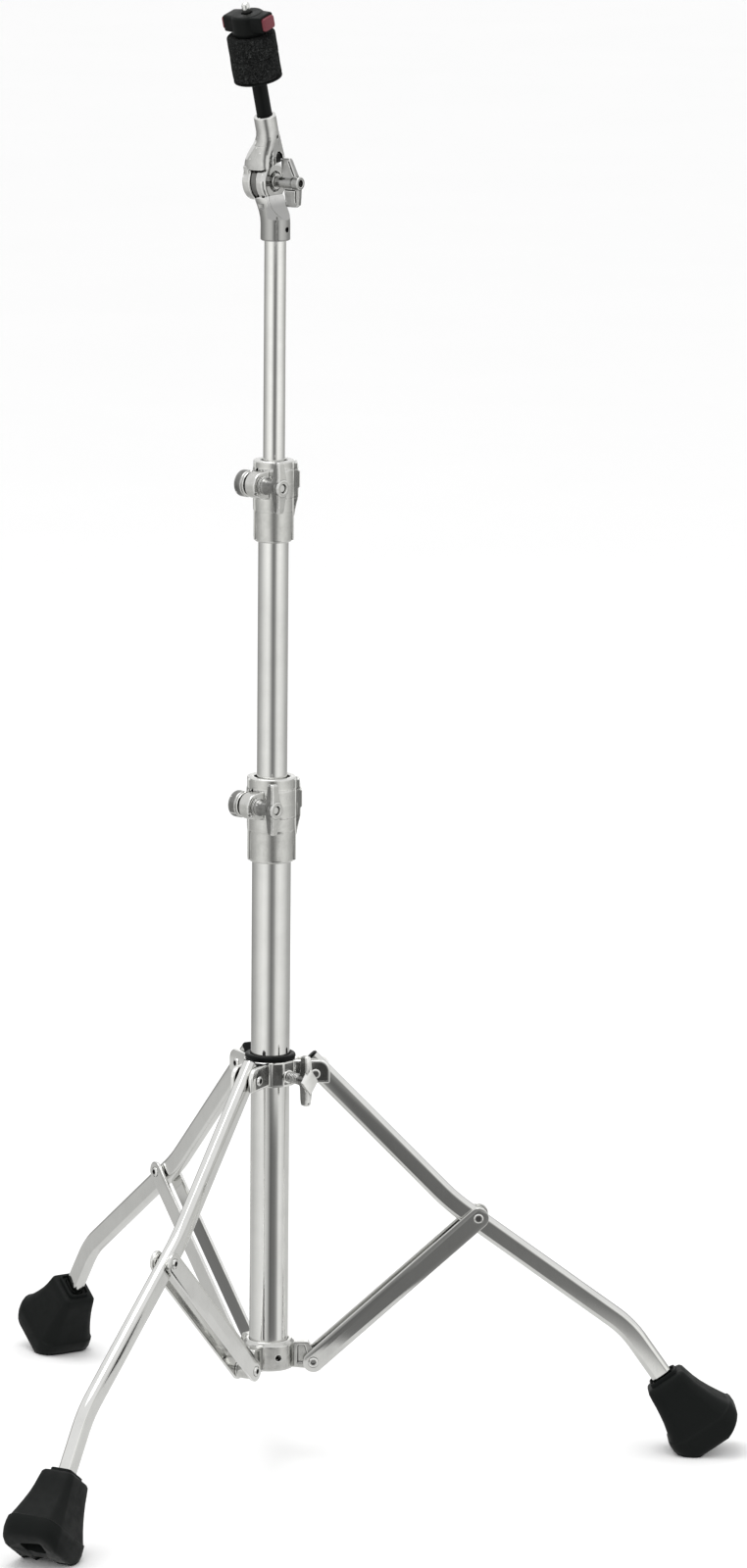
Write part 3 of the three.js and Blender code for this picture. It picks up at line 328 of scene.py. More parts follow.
def plain_mesh(holder):
    """The finished mesh of an object with modifiers, which is removed."""
    graph = bpy.context.evaluated_depsgraph_get()
    result = bpy.data.meshes.new_from_object(holder.evaluated_get(graph))
    bpy.data.objects.remove(holder)
    return result


def worked(mesh, modifiers):
    """The mesh after a list of (kind, settings) modifiers."""
    holder = placed_object("worked", mesh)
    for kind, settings in modifiers:
        modifier = holder.modifiers.new(kind, kind)
        for name, value in settings.items():
            setattr(modifier, name, value)
    return plain_mesh(holder)


def combined(base, meshes, operation):
    """The base with each mesh added or cut away."""
    tools = [placed_object("tool", mesh) for mesh in meshes]
    result = worked(base, [
        ("BOOLEAN", {"operation": operation, "solver": "MANIFOLD", "object": tool}) for tool in tools
    ])
    for tool in tools:
        bpy.data.objects.remove(tool)
    return result


def with_added(base, *meshes):
    """A form joined with others into one solid."""
    return combined(base, meshes, "UNION")


def with_cut(base, *meshes):
    """A form with others cut out of it."""
    return combined(base, meshes, "DIFFERENCE")


def bevelled(mesh, width, segments=2, angle=40):
    """A form with its sharp edges rounded."""
    return worked(mesh, [("BEVEL", {
        "width": width, "segments": segments, "limit_method": "ANGLE",
        "angle_limit": math.radians(angle), "use_clamp_overlap": True,
    })])


def cast(mesh, share=1.0, passes=None):
    """Softens a machined form into a casting with small fillets everywhere."""
    sizes = bpy.context.scene.casting_sizes
    spacing = mm(sizes.grain) * share * 1
    return worked(mesh, [
        ("REMESH", {"mode": "VOXEL", "voxel_size": spacing, "use_smooth_shade": True}),
        ("SMOOTH", {"factor": 0.5, "iterations": sizes.softening if passes is None else passes}),
    ])


def finish_piece(name, mesh, place, material, *nodes, smooth=38, slot=None):
    """Puts a millimetre form in its place in the stand, and lets it stand for its CAD nodes."""
    mesh.transform(TO_METRES @ place)
    mesh.polygons.foreach_set("use_smooth", [True] * len(mesh.polygons))
    mesh.set_sharp_from_angle(angle=math.radians(smooth))
    mesh.materials.clear()
    mesh.materials.append(finish(material))
    mesh.name = name
    piece = placed_object(name, mesh)
    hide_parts(*nodes)
    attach(piece, body_of_node(nodes[0]))
    return piece


def body_of_node(node):
    """The body that a CAD node belongs to."""
    for body, members in frame["record"]["behaviour"]["bodies"].items():
        if node in members:
            return body
    raise RuntimeError(f"no body holds {node}")


# Frames of the stand, in millimetres
def tube_axis():
    low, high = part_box("base_tube")
    return Vector(((low.x + high.x) / 2, (low.y + high.y) / 2, 0)) / MILLIMETRE


def stand_frame(azimuth=0.0, height=0.0):
    """A frame on the stand's axis, turned to an azimuth and raised to a height."""
    axis = tube_axis()
    return shift(axis.x, axis.y, height) @ turn(azimuth, "Z")


HINGE_HEIGHT = 942.0
HINGE_AZIMUTH = -38.0
REST_TILT = 16.2
ROD_OFFSET = 0.4


def hinge_frame():
    """The frame of the tilter's bolt, with X along the bolt."""
    return stand_frame(HINGE_AZIMUTH, HINGE_HEIGHT)


def head_frame():
    """The hinge frame, swung with the tilter's head."""
    return hinge_frame() @ turn(REST_TILT, "X")


def rod_frame():
    """The frame of the cymbal rod, with Z along it."""
    return head_frame() @ shift(ROD_OFFSET)


# Shader helpers
def fill_inputs(tree, node, values):
    """Sets a node's inputs, or links them where the value is another node's output."""
    for socket, value in values.items():
        if isinstance(value, bpy.types.NodeSocket):
            tree.links.new(value, node.inputs[socket])
        else:
            node.inputs[socket].default_value = value


def add_node(tree, kind, values=None, **settings):
    """A node with its inputs and its own settings filled in."""
    node = tree.nodes.new(kind)
    for name, value in settings.items():
        setattr(node, name, value)
    fill_inputs(tree, node, values or {})
    return node


def drawn(tree, kind, output, values=None, **settings):
    """One output of a new node."""
    return add_node(tree, kind, values, **settings).outputs[output]


def on_object(tree):
    return drawn(tree, "ShaderNodeTexCoord", "Object")


def upward_part(tree, vector):
    return drawn(tree, "ShaderNodeSeparateXYZ", "Z", {"Vector": vector})


def maths(tree, operation, first, second=None, clamp=False):
    """The result of a Math node."""
    values = {0: first} if second is None else {0: first, 1: second}
    return drawn(tree, "ShaderNodeMath", "Value", values, operation=operation, use_clamp=clamp)


def ranged(tree, value, low, high, to_low=0.0, to_high=1.0, smooth=False):
    return drawn(tree, "ShaderNodeMapRange", "Result", {
        "Value": value, "From Min": low, "From Max": high, "To Min": to_low, "To Max": to_high,
    }, interpolation_type="SMOOTHSTEP" if smooth else "LINEAR")


def noise(tree, vector, scale, detail, roughness=0.5):
    """The value of a Noise Texture."""
    return drawn(tree, "ShaderNodeTexNoise", "Fac", {
        "Vector": vector, "Scale": scale, "Detail": detail, "Roughness": roughness})


def blended(tree, kind, share, first, second):
    """The result of a Mix node."""
    return drawn(tree, "ShaderNodeMix", "Result", {"Factor": share, "A": first, "B": second}, data_type=kind)


def layered(tree, mask, under, over):
    """One colour over another by a mask; a plain colour is three numbers."""
    colours = [item if isinstance(item, bpy.types.NodeSocket) else (*item, 1.0) for item in (under, over)]
    return blended(tree, "RGBA", mask, *colours)


def new_group(name, inputs, outputs):
    """A shader group with number inputs (name, default) and number outputs."""
    tree = bpy.data.node_groups.new(name, "ShaderNodeTree")
    for label, default in inputs:
        socket = tree.interface.new_socket(name=label, in_out="INPUT", socket_type="NodeSocketFloat")
        socket.default_value = default
    for label in outputs:
        tree.interface.new_socket(name=label, in_out="OUTPUT", socket_type="NodeSocketFloat")
    return tree, tree.nodes.new("NodeGroupInput").outputs, tree.nodes.new("NodeGroupOutput")


def handling_wear_group(name):
    """Patches of fingering and fine rubbed lines; puts out a roughness and a mask."""
    tree, given, out = new_group(name, [
        ("Patch Scale", 60.0), ("Line Scale", 900.0), ("Clean Roughness", 0.06), ("Worn Roughness", 0.16),
    ], ["Roughness", "Mask"])
    place = on_object(tree)
    spread = drawn(tree, "ShaderNodeMapping", "Vector", {"Vector": place, "Scale": (1.0, 1.0, 0.08)})
    patches = ranged(tree, noise(tree, place, given["Patch Scale"], 4.0, 0.6), 0.42, 0.74)
    lines = ranged(tree, noise(tree, spread, given["Line Scale"], 2.0), 0.56, 0.72, to_high=0.35)
    total = maths(tree, "ADD", patches, lines, clamp=True)
    rough = blended(tree, "FLOAT", total, given["Clean Roughness"], given["Worn Roughness"])
    fill_inputs(tree, out, {"Roughness": rough, "Mask": total})
    return tree


def surface_grain_group(name):
    """Fine grain with broad unevenness under it; puts out a height and a mask."""
    tree, given, out = new_group(name, [
        ("Grain Scale", 2500.0), ("Wave Scale", 120.0), ("Wave Share", 0.3),
    ], ["Height", "Mask"])
    place = on_object(tree)
    grain = noise(tree, place, given["Grain Scale"], 3.0, 0.65)
    waves = noise(tree, place, given["Wave Scale"], 1.0, 0.4)
    height = blended(tree, "FLOAT", given["Wave Share"], grain, waves)
    fill_inputs(tree, out, {"Height": height, "Mask": ranged(tree, grain, 0.35, 0.7)})
    return tree


def settled_dust_group(name):
    """Dust on faces that look up, broken by noise; puts out a mask."""
    tree, given, out = new_group(name, [("Amount", 0.2), ("Patch Scale", 90.0)], ["Mask"])
    normal = drawn(tree, "ShaderNodeNewGeometry", "Normal")
    facing = ranged(tree, upward_part(tree, normal), 0.1, 1.0)
    patches = noise(tree, on_object(tree), given["Patch Scale"], 6.0, 0.7)
    settled = maths(tree, "MULTIPLY", facing, patches)
    fill_inputs(tree, out, {"Mask": maths(tree, "MULTIPLY", settled, given["Amount"], clamp=True)})
    return tree


def painted_relief_group(name):
    """Painted shade in the creases of a casting and a painted highlight along its edges, both from
    pointiness; puts out both masks.
    """
    tree, given, out = new_group(name, [("Crease Depth", 0.03), ("Edge Height", 0.03)], ["Crease", "Edge"])
    pointed = drawn(tree, "ShaderNodeNewGeometry", "Pointiness")
    inward = maths(tree, "SUBTRACT", 0.495, pointed)
    outward = maths(tree, "SUBTRACT", pointed, 0.505)
    fill_inputs(tree, out, {
        "Crease": maths(tree, "DIVIDE", inward, given["Crease Depth"], clamp=True),
        "Edge": maths(tree, "DIVIDE", outward, given["Edge Height"], clamp=True),
    })
    return tree


GROUP_MAKERS = {
    "Handling wear": handling_wear_group, "Surface grain": surface_grain_group,
    "Settled dust": settled_dust_group, "Cast relief": painted_relief_group,
}


def placed_group(tree, name, values):
    """The outputs of a shared group that is placed with its own values."""
    group = bpy.data.node_groups.get(name) or GROUP_MAKERS[name](name)
    return add_node(tree, "ShaderNodeGroup", values, node_tree=group).outputs


def new_material(name, colour, sockets):
    material = bpy.data.materials.new(name)
    material.use_nodes = True
    material.diffuse_color = (*colour, 1.0)
    tree = material.node_tree
    shader = tree.nodes["Principled BSDF"]
    fill_inputs(tree, shader, sockets)
    return material, tree, shader


def raised(tree, height, strength, distance):
    """The normal of a Bump node."""
    return drawn(tree, "ShaderNodeBump", "Normal", {
        "Strength": strength, "Distance": distance, "Height": height})


def tone(colour, factor):
    """A colour, darker or lighter by a share."""
    return tuple(min(1.0, channel * factor) for channel in colour)


def own_colour(name):
    return getattr(bpy.context.scene.finish_colours, name)


# Each metal: its colour and tone, its wear and grain, the tone it dulls to, and for castings the tone of the
# painted shade in creases and the tone of chrome for the painted highlight on edges
METALS = {
    "Polished chrome": {
        "colour": "chrome", "wear": (45.0, 700.0, 0.07, 0.115), "grain": (900.0, 35.0, 0.75), "relief": 0.03,
        "dull": 0.93,
    },
    "Shaded chrome": {
        "colour": "chrome", "wear": (45.0, 700.0, 0.08, 0.13), "grain": (900.0, 35.0, 0.75), "relief": 0.03,
        "dull": 0.93,
    },
    "Satin casting": {
        "colour": "casting", "wear": (120.0, 1800.0, 0.15, 0.25), "grain": (1700.0, 160.0, 0.35),
        "relief": 0.07, "dull": 0.86, "crease": 0.22,
    },
    "Raw casting": {
        "colour": "casting", "tone": 0.36, "wear": (200.0, 1800.0, 0.24, 0.36), "grain": (1300.0, 200.0, 0.3),
        "relief": 0.16, "dull": 0.6, "crease": 0.3,
    },
    "As-cast face": {
        "colour": "casting", "tone": 0.3, "wear": (160.0, 1600.0, 0.2, 0.32), "grain": (1500.0, 180.0, 0.4),
        "relief": 0.14, "dull": 0.55,
    },
    "Shaded casting": {
        "colour": "casting", "tone": 0.05, "wear": (160.0, 1600.0, 0.4, 0.6), "grain": (1500.0, 180.0, 0.4),
        "relief": 0.14, "dull": 0.55,
    },
    "Bright casting": {
        "colour": "chrome", "tone": 0.88, "wear": (110.0, 1500.0, 0.05, 0.12), "grain": (1100.0, 90.0, 0.6),
        "relief": 0.05, "dull": 0.86, "crease": 0.16, "edge": 1.15,
    },
    "Tilter casting": {
        "colour": "chrome", "tone": 0.86, "wear": (110.0, 1500.0, 0.05, 0.12), "grain": (1100.0, 90.0, 0.6),
        "relief": 0.06, "dull": 0.82, "crease": 0.14, "edge": 1.15,
    },
    "Wing casting": {
        "colour": "chrome", "tone": 0.5, "wear": (140.0, 1500.0, 0.1, 0.2), "grain": (1300.0, 120.0, 0.5),
        "relief": 0.08, "dull": 0.75, "crease": 0.16,
    },
    "Screw steel": {
        "colour": "steel", "wear": (300.0, 2600.0, 0.13, 0.26), "grain": (3200.0, 500.0, 0.2), "relief": 0.08,
        "dull": 0.8, "crease": 0.4,
    },
}
WEAR_SOCKETS = ("Patch Scale", "Line Scale", "Clean Roughness", "Worn Roughness")
GRAIN_SOCKETS = ("Grain Scale", "Wave Scale", "Wave Share")
# Metals with a painted dark reflection below a height: tone, top and bottom of the change, only on upright
# faces
PAINTED_DARK_BELOW = {"Shaded chrome": (0.3, 0.166, 0.146, True), "Tilter casting": (0.5, 0.931, 0.924, False)}
# Each plastic or rubber: colour, clean and worn roughness, grain scale, relief, dust and specular level
MOULDED = {
    "Black plastic": ("plastic", 0.36, 0.5, 3000.0, 0.12, 0.012, 0.09),
    "Boot rubber": ("rubber", 0.46, 0.62, 2200.0, 0.2, 0.02, 0.09),
    "Crimson plastic": ("crimson", 0.4, 0.5, 2600.0, 0.12, 0.03, 0.26),
}
DUST = (0.20, 0.195, 0.18)


def metal(name, row):
    """A worn metal from the METALS table."""
    colour = tone(own_colour(row["colour"]), row.get("tone", 1.0))
    material, tree, shader = new_material(name, colour, {"Metallic": 1.0})
    worn = placed_group(tree, "Handling wear", dict(zip(WEAR_SOCKETS, row["wear"])))
    rough = placed_group(tree, "Surface grain", dict(zip(GRAIN_SOCKETS, row["grain"])))
    base = layered(tree, worn["Mask"], colour, tone(colour, row["dull"]))
    # Castings: painted shade in their creases and a painted highlight along their edges, from pointiness
    if "crease" in row:
        form = placed_group(tree, "Cast relief", {})
        base = layered(tree, form["Edge"], base, tone(own_colour("chrome"), row.get("edge", 1.0)))
        base = layered(tree, form["Crease"], base, tone(colour, row["crease"]))
    # Below a height the colour turns dark: a painted reflection of something dark
    if name in PAINTED_DARK_BELOW:
        base = layered(tree, painted_dark_mask(tree, *PAINTED_DARK_BELOW[name][1:]), base,
                       tone(own_colour("chrome"), PAINTED_DARK_BELOW[name][0]))
    fill_inputs(tree, shader, {
        "Base Color": base, "Roughness": worn["Roughness"],
        "Normal": raised(tree, rough["Height"], row["relief"], 0.0004),
    })
    return material


# Mask of the painted dark reflection: below a height, and only on upright faces where asked
def painted_dark_mask(tree, top, bottom, upright):
    mask = ranged(tree, upward_part(tree, on_object(tree)), top, bottom, smooth=True)
    if upright:
        slope = maths(tree, "ABSOLUTE", upward_part(tree, drawn(tree, "ShaderNodeNewGeometry", "Normal")))
        mask = maths(tree, "MULTIPLY", mask, ranged(tree, slope, 0.3, 0.5, 1.0, 0.0, smooth=True))
    return mask


def moulded(name, colour_name, clean, worn_value, grain_scale, relief, dust, specular):
    """A moulded plastic or rubber with pebbled skin, rubbed patches and a little dust."""
    colour = own_colour(colour_name)
    material, tree, shader = new_material(name, colour, {"Specular IOR Level": specular})
    worn = placed_group(tree, "Handling wear", dict(zip(WEAR_SOCKETS, (130.0, 1200.0, clean, worn_value))))
    skin = placed_group(tree, "Surface grain", dict(zip(GRAIN_SOCKETS, (grain_scale, 220.0, 0.25))))
    settled = placed_group(tree, "Settled dust", {"Amount": dust, "Patch Scale": 160.0})
    base = layered(tree, skin["Mask"], tone(colour, 0.82), tone(colour, 1.35))
    fill_inputs(tree, shader, {
        "Base Color": layered(tree, settled["Mask"], base, DUST), "Roughness": worn["Roughness"],
        "Normal": raised(tree, skin["Height"], relief, 0.0003),
    })
    return material


def wool_felt(name):
    """Pressed wool: matted dark fibres with pale ones among them."""
    colour = own_colour("felt")
    material, tree, shader = new_material(name, colour, {
        "Specular IOR Level": 0.02, "Sheen Weight": 0.03, "Sheen Roughness": 0.6,
        "Sheen Tint": (0.62, 0.64, 0.62, 1.0),
    })
    place = on_object(tree)
    curl = drawn(tree, "ShaderNodeTexNoise", "Color", {
        "Vector": place, "Scale": 260.0, "Detail": 3.0, "Distortion": 1.5})
    warp = blended(tree, "VECTOR", 0.012, place, curl)
    fibres = noise(tree, warp, 620.0, 4.0, 0.8)
    tufts = drawn(tree, "ShaderNodeTexVoronoi", "Distance", {"Vector": warp, "Scale": 620.0}, feature="F1")
    height = maths(tree, "ADD", fibres, tufts)
    fill_inputs(tree, shader, {
        "Base Color": layered(tree, ranged(tree, fibres, 0.5, 0.68), colour, (0.088, 0.092, 0.090)),
        "Roughness": ranged(tree, fibres, 0.0, 1.0, 0.86, 1.0), "Normal": raised(tree, height, 0.9, 0.0007),
    })
    return material


def finish(name):
    """The material of that name, made when a piece first needs it."""
    made = bpy.data.materials.get(name)
    if made:
        return made
    if name in METALS:
        return metal(name, METALS[name])
    if name in MOULDED:
        return moulded(name, *MOULDED[name])
    return wool_felt(name)


# Tubes
def tube_form(radius, wall, low, high, lip):
    """A plain tube with rounded cut ends."""
    return turned([
        (radius - wall, low), (radius - lip, low), (radius, low + lip),
        (radius, high, lip), (radius - wall, high, lip),
    ], sides=96)


class STAND_OT_tubes(bpy.types.Operator):
    """Build the three telescopic tubes and their hidden guides"""

    bl_idname = "stand.tubes"
    bl_label = "Tubes"

    def execute(self, context):
        sizes = context.scene.tube_sizes
        lip = mm(sizes.lip)
        tubes = [
            ("base_tube", mm(sizes.base_radius), 1.5, 66.0, 494.0),
            ("middle_tube", mm(sizes.middle_radius), 1.3, 300.0, 727.0),
            ("top_tube", mm(sizes.top_radius), 1.2, 540.0, 914.0),
        ]
        for name, radius, wall, low, high in tubes:
            form = tube_form(radius, wall, low, high, lip)
            finish_piece(f"{name}_chromed", form, stand_frame(), "Polished chrome", name)
        guides = [
            ("middle_tube_guide", 11.41, 12.49, 300.0, 314.0),
            ("top_tube_guide", 8.24, 9.51, 540.0, 552.0),
        ]
        for name, inner, outer, low, high in guides:
            form = turned(tube_profile(inner, outer, low, high, 0.3))
            finish_piece(f"{name}_ring", form, stand_frame(), "Black plastic", name)
        return {"FINISHED"}


# Hub at the foot of the base tube
PIVOT_RADIUS = 33.0
HUB_PIVOT = 69.5
COLLAR_PIVOT = 288.5
KNEE_RADIUS = 153.7
KNEE_HEIGHT = (HUB_PIVOT + COLLAR_PIVOT) / 2
PIN_RADIUS = 2.2
LEG_HALF = 4.75


def hub_lug():
    """One lug with its nose between the brace bars and a pocket in either side."""
    body = plate(rounded_path([
        (16.4, 65.0), (31.0, 63.5, 3.0), (39.0, 63.6, 5.2), (39.2, 72.0, 5.0),
        (33.5, 77.0, 2.0), (29.2, 84.0, 1.5), (16.4, 84.0),
    ]), -LEG_HALF, LEG_HALF)
    pocket = rounded_path([
        (21.2, 68.2, 1.0), (28.0, 68.0, 2.0), (28.2, 76.0, 2.5), (26.6, 81.6, 1.0), (21.2, 81.6, 1.0),
    ])
    sides = [plate(pocket, side * 3.3, side * 6.0) for side in (-1, 1)]
    pin = moved(peg_y(PIN_RADIUS + FIT, -6, 6), shift(PIVOT_RADIUS, 0, HUB_PIVOT))
    return with_cut(body, *sides, pin)


class STAND_OT_hub(bpy.types.Operator):
    """Build the cast hub with its three lugs and its set screw"""

    bl_idname = "stand.hub"
    bl_label = "Hub"

    def execute(self, context):
        ring = turned([
            (BASE_BORE, 65.0, 0.5), (19.0, 65.0, 1.2), (19.0, 83.6, 0.8), (16.8, 86.5, 0.6),
            (BASE_BORE, 86.5, 0.4),
        ])
        lugs = [moved(hub_lug(), turn(azimuth, "Z")) for azimuth in AZIMUTHS.values()]
        bore = turned(rod(BASE_BORE, 60, 90))
        screw_hole = moved(peg_x(2.3, 10, 25), shift(0, 0, 75), turn(-68, "Z"))
        form = cast(with_cut(with_added(ring, *lugs), bore, screw_hole), 0.85, 2)
        finish_piece("hub_casting", form, stand_frame(), "Satin casting", "brace_hub")
        screw = set_screw_form(14.6, 16.6)
        # The set screw sits deep in its hole; its near-black colour is painted shade
        finish_piece("hub_set_screw_socket", screw, stand_frame(-68, 75), "Shaded casting", "hub_set_screw")
        return {"FINISHED"}


def set_screw_form(low, high):
    """A socket set screw along X, with a bevelled rim and a six-sided key hole."""
    body = peg_x(1.6, low, high, 0.3, sides=24)
    key = turned_along_x(rod(1.1, max(low + 0.2, high - 2.2), high + 1), 6)
    return with_cut(body, key)


# Leg tubes by Geometry Nodes: a filleted path with a rounded section swept along it
def leg_path():
    """Corners of the leg's centre line in its own plane, top to bottom."""
    first = Vector((KNEE_RADIUS - 19.3, KNEE_HEIGHT + 10.6))
    second = first + Vector((130.9, -95.1))
    mouth = second + Vector((26.8, -38.3))
    pivot = Vector((PIVOT_RADIUS, COLLAR_PIVOT))
    run = first - pivot
    angle = math.atan2(run.y, run.x) - math.asin(3.16 / run.length)
    along = Vector((math.cos(angle), math.sin(angle)))
    across = Vector((-along.y, along.x))
    top = pivot - along * 9.65 + across * 3.16
    return top, first, second, mouth


def sized_tree(name, sizes):
    """A Geometry Nodes tree whose inputs are a geometry, sizes (label, default) and a finish."""
    tree = bpy.data.node_groups.new(name, "GeometryNodeTree")
    face = tree.interface
    face.new_socket(name="Geometry", in_out="INPUT", socket_type="NodeSocketGeometry")
    for label, default in sizes:
        socket = face.new_socket(name=label, in_out="INPUT", socket_type="NodeSocketFloat")
        socket.default_value = default
        socket.subtype = "DISTANCE"
    face.new_socket(name="Finish", in_out="INPUT", socket_type="NodeSocketMaterial")
    face.new_socket(name="Geometry", in_out="OUTPUT", socket_type="NodeSocketGeometry")
    return tree, tree.nodes.new("NodeGroupInput").outputs


def close_tree(tree, given, geometry):
    """Ends a tree with plain meshes in their finish."""
    solid = drawn(tree, "GeometryNodeRealizeInstances", "Geometry", {"Geometry": geometry})
    dressed = drawn(tree, "GeometryNodeSetMaterial", "Geometry", {
        "Geometry": solid, "Material": given["Finish"]})
    add_node(tree, "NodeGroupOutput", {"Geometry": dressed})
    return tree


def leg_tree():
    """Geometry Nodes: fillets the leg's path and sweeps a rounded rectangle along it."""
    tree, given = sized_tree("Bent leg tube", [
        ("Depth", 0.0156), ("Width", 0.0095), ("Corner", 0.0027),
        ("First Bend", 0.15), ("Second Bend", 0.078),
    ])
    curve = drawn(tree, "GeometryNodeMeshToCurve", "Curve", {"Mesh": given["Geometry"]})
    number = drawn(tree, "GeometryNodeInputIndex", "Index")
    is_first = drawn(tree, "FunctionNodeCompare", "Result", {2: number, 3: 1},
                     data_type="INT", operation="EQUAL")
    radius = drawn(tree, "GeometryNodeSwitch", "Output", {
        "Switch": is_first, "False": given["Second Bend"], "True": given["First Bend"]}, input_type="FLOAT")
    bent = drawn(tree, "GeometryNodeFilletCurve", "Curve", {
        "Curve": curve, "Radius": radius, "Count": 22}, mode="POLY")
    upright = drawn(tree, "GeometryNodeSetCurveNormal", "Curve", {"Curve": bent}, mode="Z_UP")
    section = drawn(tree, "GeometryNodeCurvePrimitiveQuadrilateral", "Curve", {
        "Width": given["Width"], "Height": given["Depth"]})
    softened = drawn(tree, "GeometryNodeFilletCurve", "Curve", {
        "Curve": section, "Radius": given["Corner"], "Count": 7}, mode="POLY")
    swept = drawn(tree, "GeometryNodeCurveToMesh", "Mesh", {
        "Curve": upright, "Profile Curve": softened, "Fill Caps": True})
    return close_tree(tree, given, swept)


def grown(base, tree, inputs):
    """The plain mesh that a Geometry Nodes tree grows from a mesh."""
    holder = placed_object("grown", base)
    modifier = holder.modifiers.new("Growth", "NODES")
    modifier.node_group = tree
    sockets = {item.name: item.identifier for item in tree.interface.items_tree if item.in_out == "INPUT"}
    for name, value in inputs.items():
        modifier[sockets[name]] = value
    return plain_mesh(holder)


def welded(mesh):
    form = bmesh.new()
    form.from_mesh(mesh)
    return mesh_of(form)


class STAND_OT_legs(bpy.types.Operator):
    """Build the three bent leg tubes and the black plugs in their upper ends"""

    bl_idname = "stand.legs"
    bl_label = "Legs"

    def execute(self, context):
        sizes = context.scene.leg_sizes
        tree = leg_tree()
        top, first, second, mouth = leg_path()
        down = (mouth - second).normalized()
        corners = [top, first, second, mouth + down * 33.5]
        for name, azimuth in AZIMUTHS.items():
            line = bpy.data.meshes.new("leg path")
            line.from_pydata([(point.x * MILLIMETRE, 0, point.y * MILLIMETRE) for point in corners],
                             [(0, 1), (1, 2), (2, 3)], [])
            form = welded(grown(line, tree, {
                "Depth": sizes.depth, "Width": sizes.width, "Corner": sizes.corner,
                "First Bend": sizes.first_bend, "Second Bend": sizes.second_bend,
                "Finish": finish("Polished chrome"),
            }))
            form.transform(TO_MILLIMETRES)
            finish_piece(f"leg_{name}_tube", form, stand_frame(azimuth), "Polished chrome", f"leg_{name}")
            plug = leg_plug_form(top, (first - top).normalized())
            finish_piece(f"leg_{name}_plug", plug, stand_frame(azimuth), "Black plastic", f"leg_plug_{name}")
        return {"FINISHED"}


def section_ring(point, along, half_depth, half_width, corner, steps=5):
    """A rounded section square to a direction in the plane of the leg."""
    across = Vector((-along.y, along.x))
    return [(point.x + deep * across.x, wide, point.y + deep * across.y)
            for deep, wide in rounded_box(half_depth, half_width, corner, steps)]


def leg_plug_form(top, along):
    """The plug's domed head outside the leg's end; its stem is inside the tube."""
    rows = []
    for back, share in ((1.75, 0.72), (1.65, 0.84), (1.25, 0.94), (0.7, 0.985), (0.15, 1.0)):
        rows.append(section_ring(top - along * back, along, 7.5 * share, 4.45 * share, 2.6 * share))
    return lofted(rows)


# Brace bars with rounded ends and pressed bosses
BAR_INNER = LEG_HALF + FIT + 0.9
BAR_OUTER = BAR_INNER + 2.3
BAR_HALF = 7.7


def brace_bar_form(side, length, edge):
    """A flat bar with round ends and a hole at each."""
    outline = []
    for centre, first_angle in ((0.0, 90), (length, -90)):
        for step in range(25):
            angle = math.radians(first_angle + 180 * step / 24)
            outline.append((centre + BAR_HALF * math.cos(angle), BAR_HALF * math.sin(angle)))
    near, far = sorted((side * BAR_INNER, side * BAR_OUTER))
    body = bevelled(plate(outline, near, far), edge, 3, 60)
    bosses = []
    holes = []
    for x in (0.0, length):
        low, high = sorted((side * (BAR_INNER - 0.85), side * (BAR_INNER + 0.9)))
        bosses.append(moved(peg_y(6.0, low, high, 0.5), shift(x)))
        holes.append(moved(peg_y(PIN_RADIUS + FIT, near - 2, far + 2), shift(x)))
        dish_low, dish_high = sorted((side * (BAR_OUTER - 0.7), side * (BAR_OUTER + 1)))
        holes.append(moved(peg_y(4.3, dish_low, dish_high), shift(x)))
    return with_cut(with_added(body, *bosses), *holes)


class STAND_OT_braces(bpy.types.Operator):
    """Build the six flat brace bars, two to a leg"""

    bl_idname = "stand.braces"
    bl_label = "Brace bars"

    def execute(self, context):
        edge = mm(context.scene.leg_sizes.bar_edge)
        run = Vector((KNEE_RADIUS - PIVOT_RADIUS, KNEE_HEIGHT - HUB_PIVOT))
        lean = math.degrees(math.atan2(run.y, run.x))
        for name, azimuth in AZIMUTHS.items():
            for label, side in (("a", -1), ("b", 1)):
                form = brace_bar_form(side, run.length, edge)
                place = stand_frame(azimuth) @ shift(PIVOT_RADIUS, 0, HUB_PIVOT) @ turn(-lean, "Y")
                # The rear leg's far bar gets the shaded chrome, with a painted dark reflection on its lower
                # part
                shaded = (name, label) == ("rear", "a")
                finish_piece(f"brace_{name}_bar_{label}", form, place,
                             "Shaded chrome" if shaded else "Polished chrome", f"brace_{name}_{label}",
                             smooth=30)
        return {"FINISHED"}


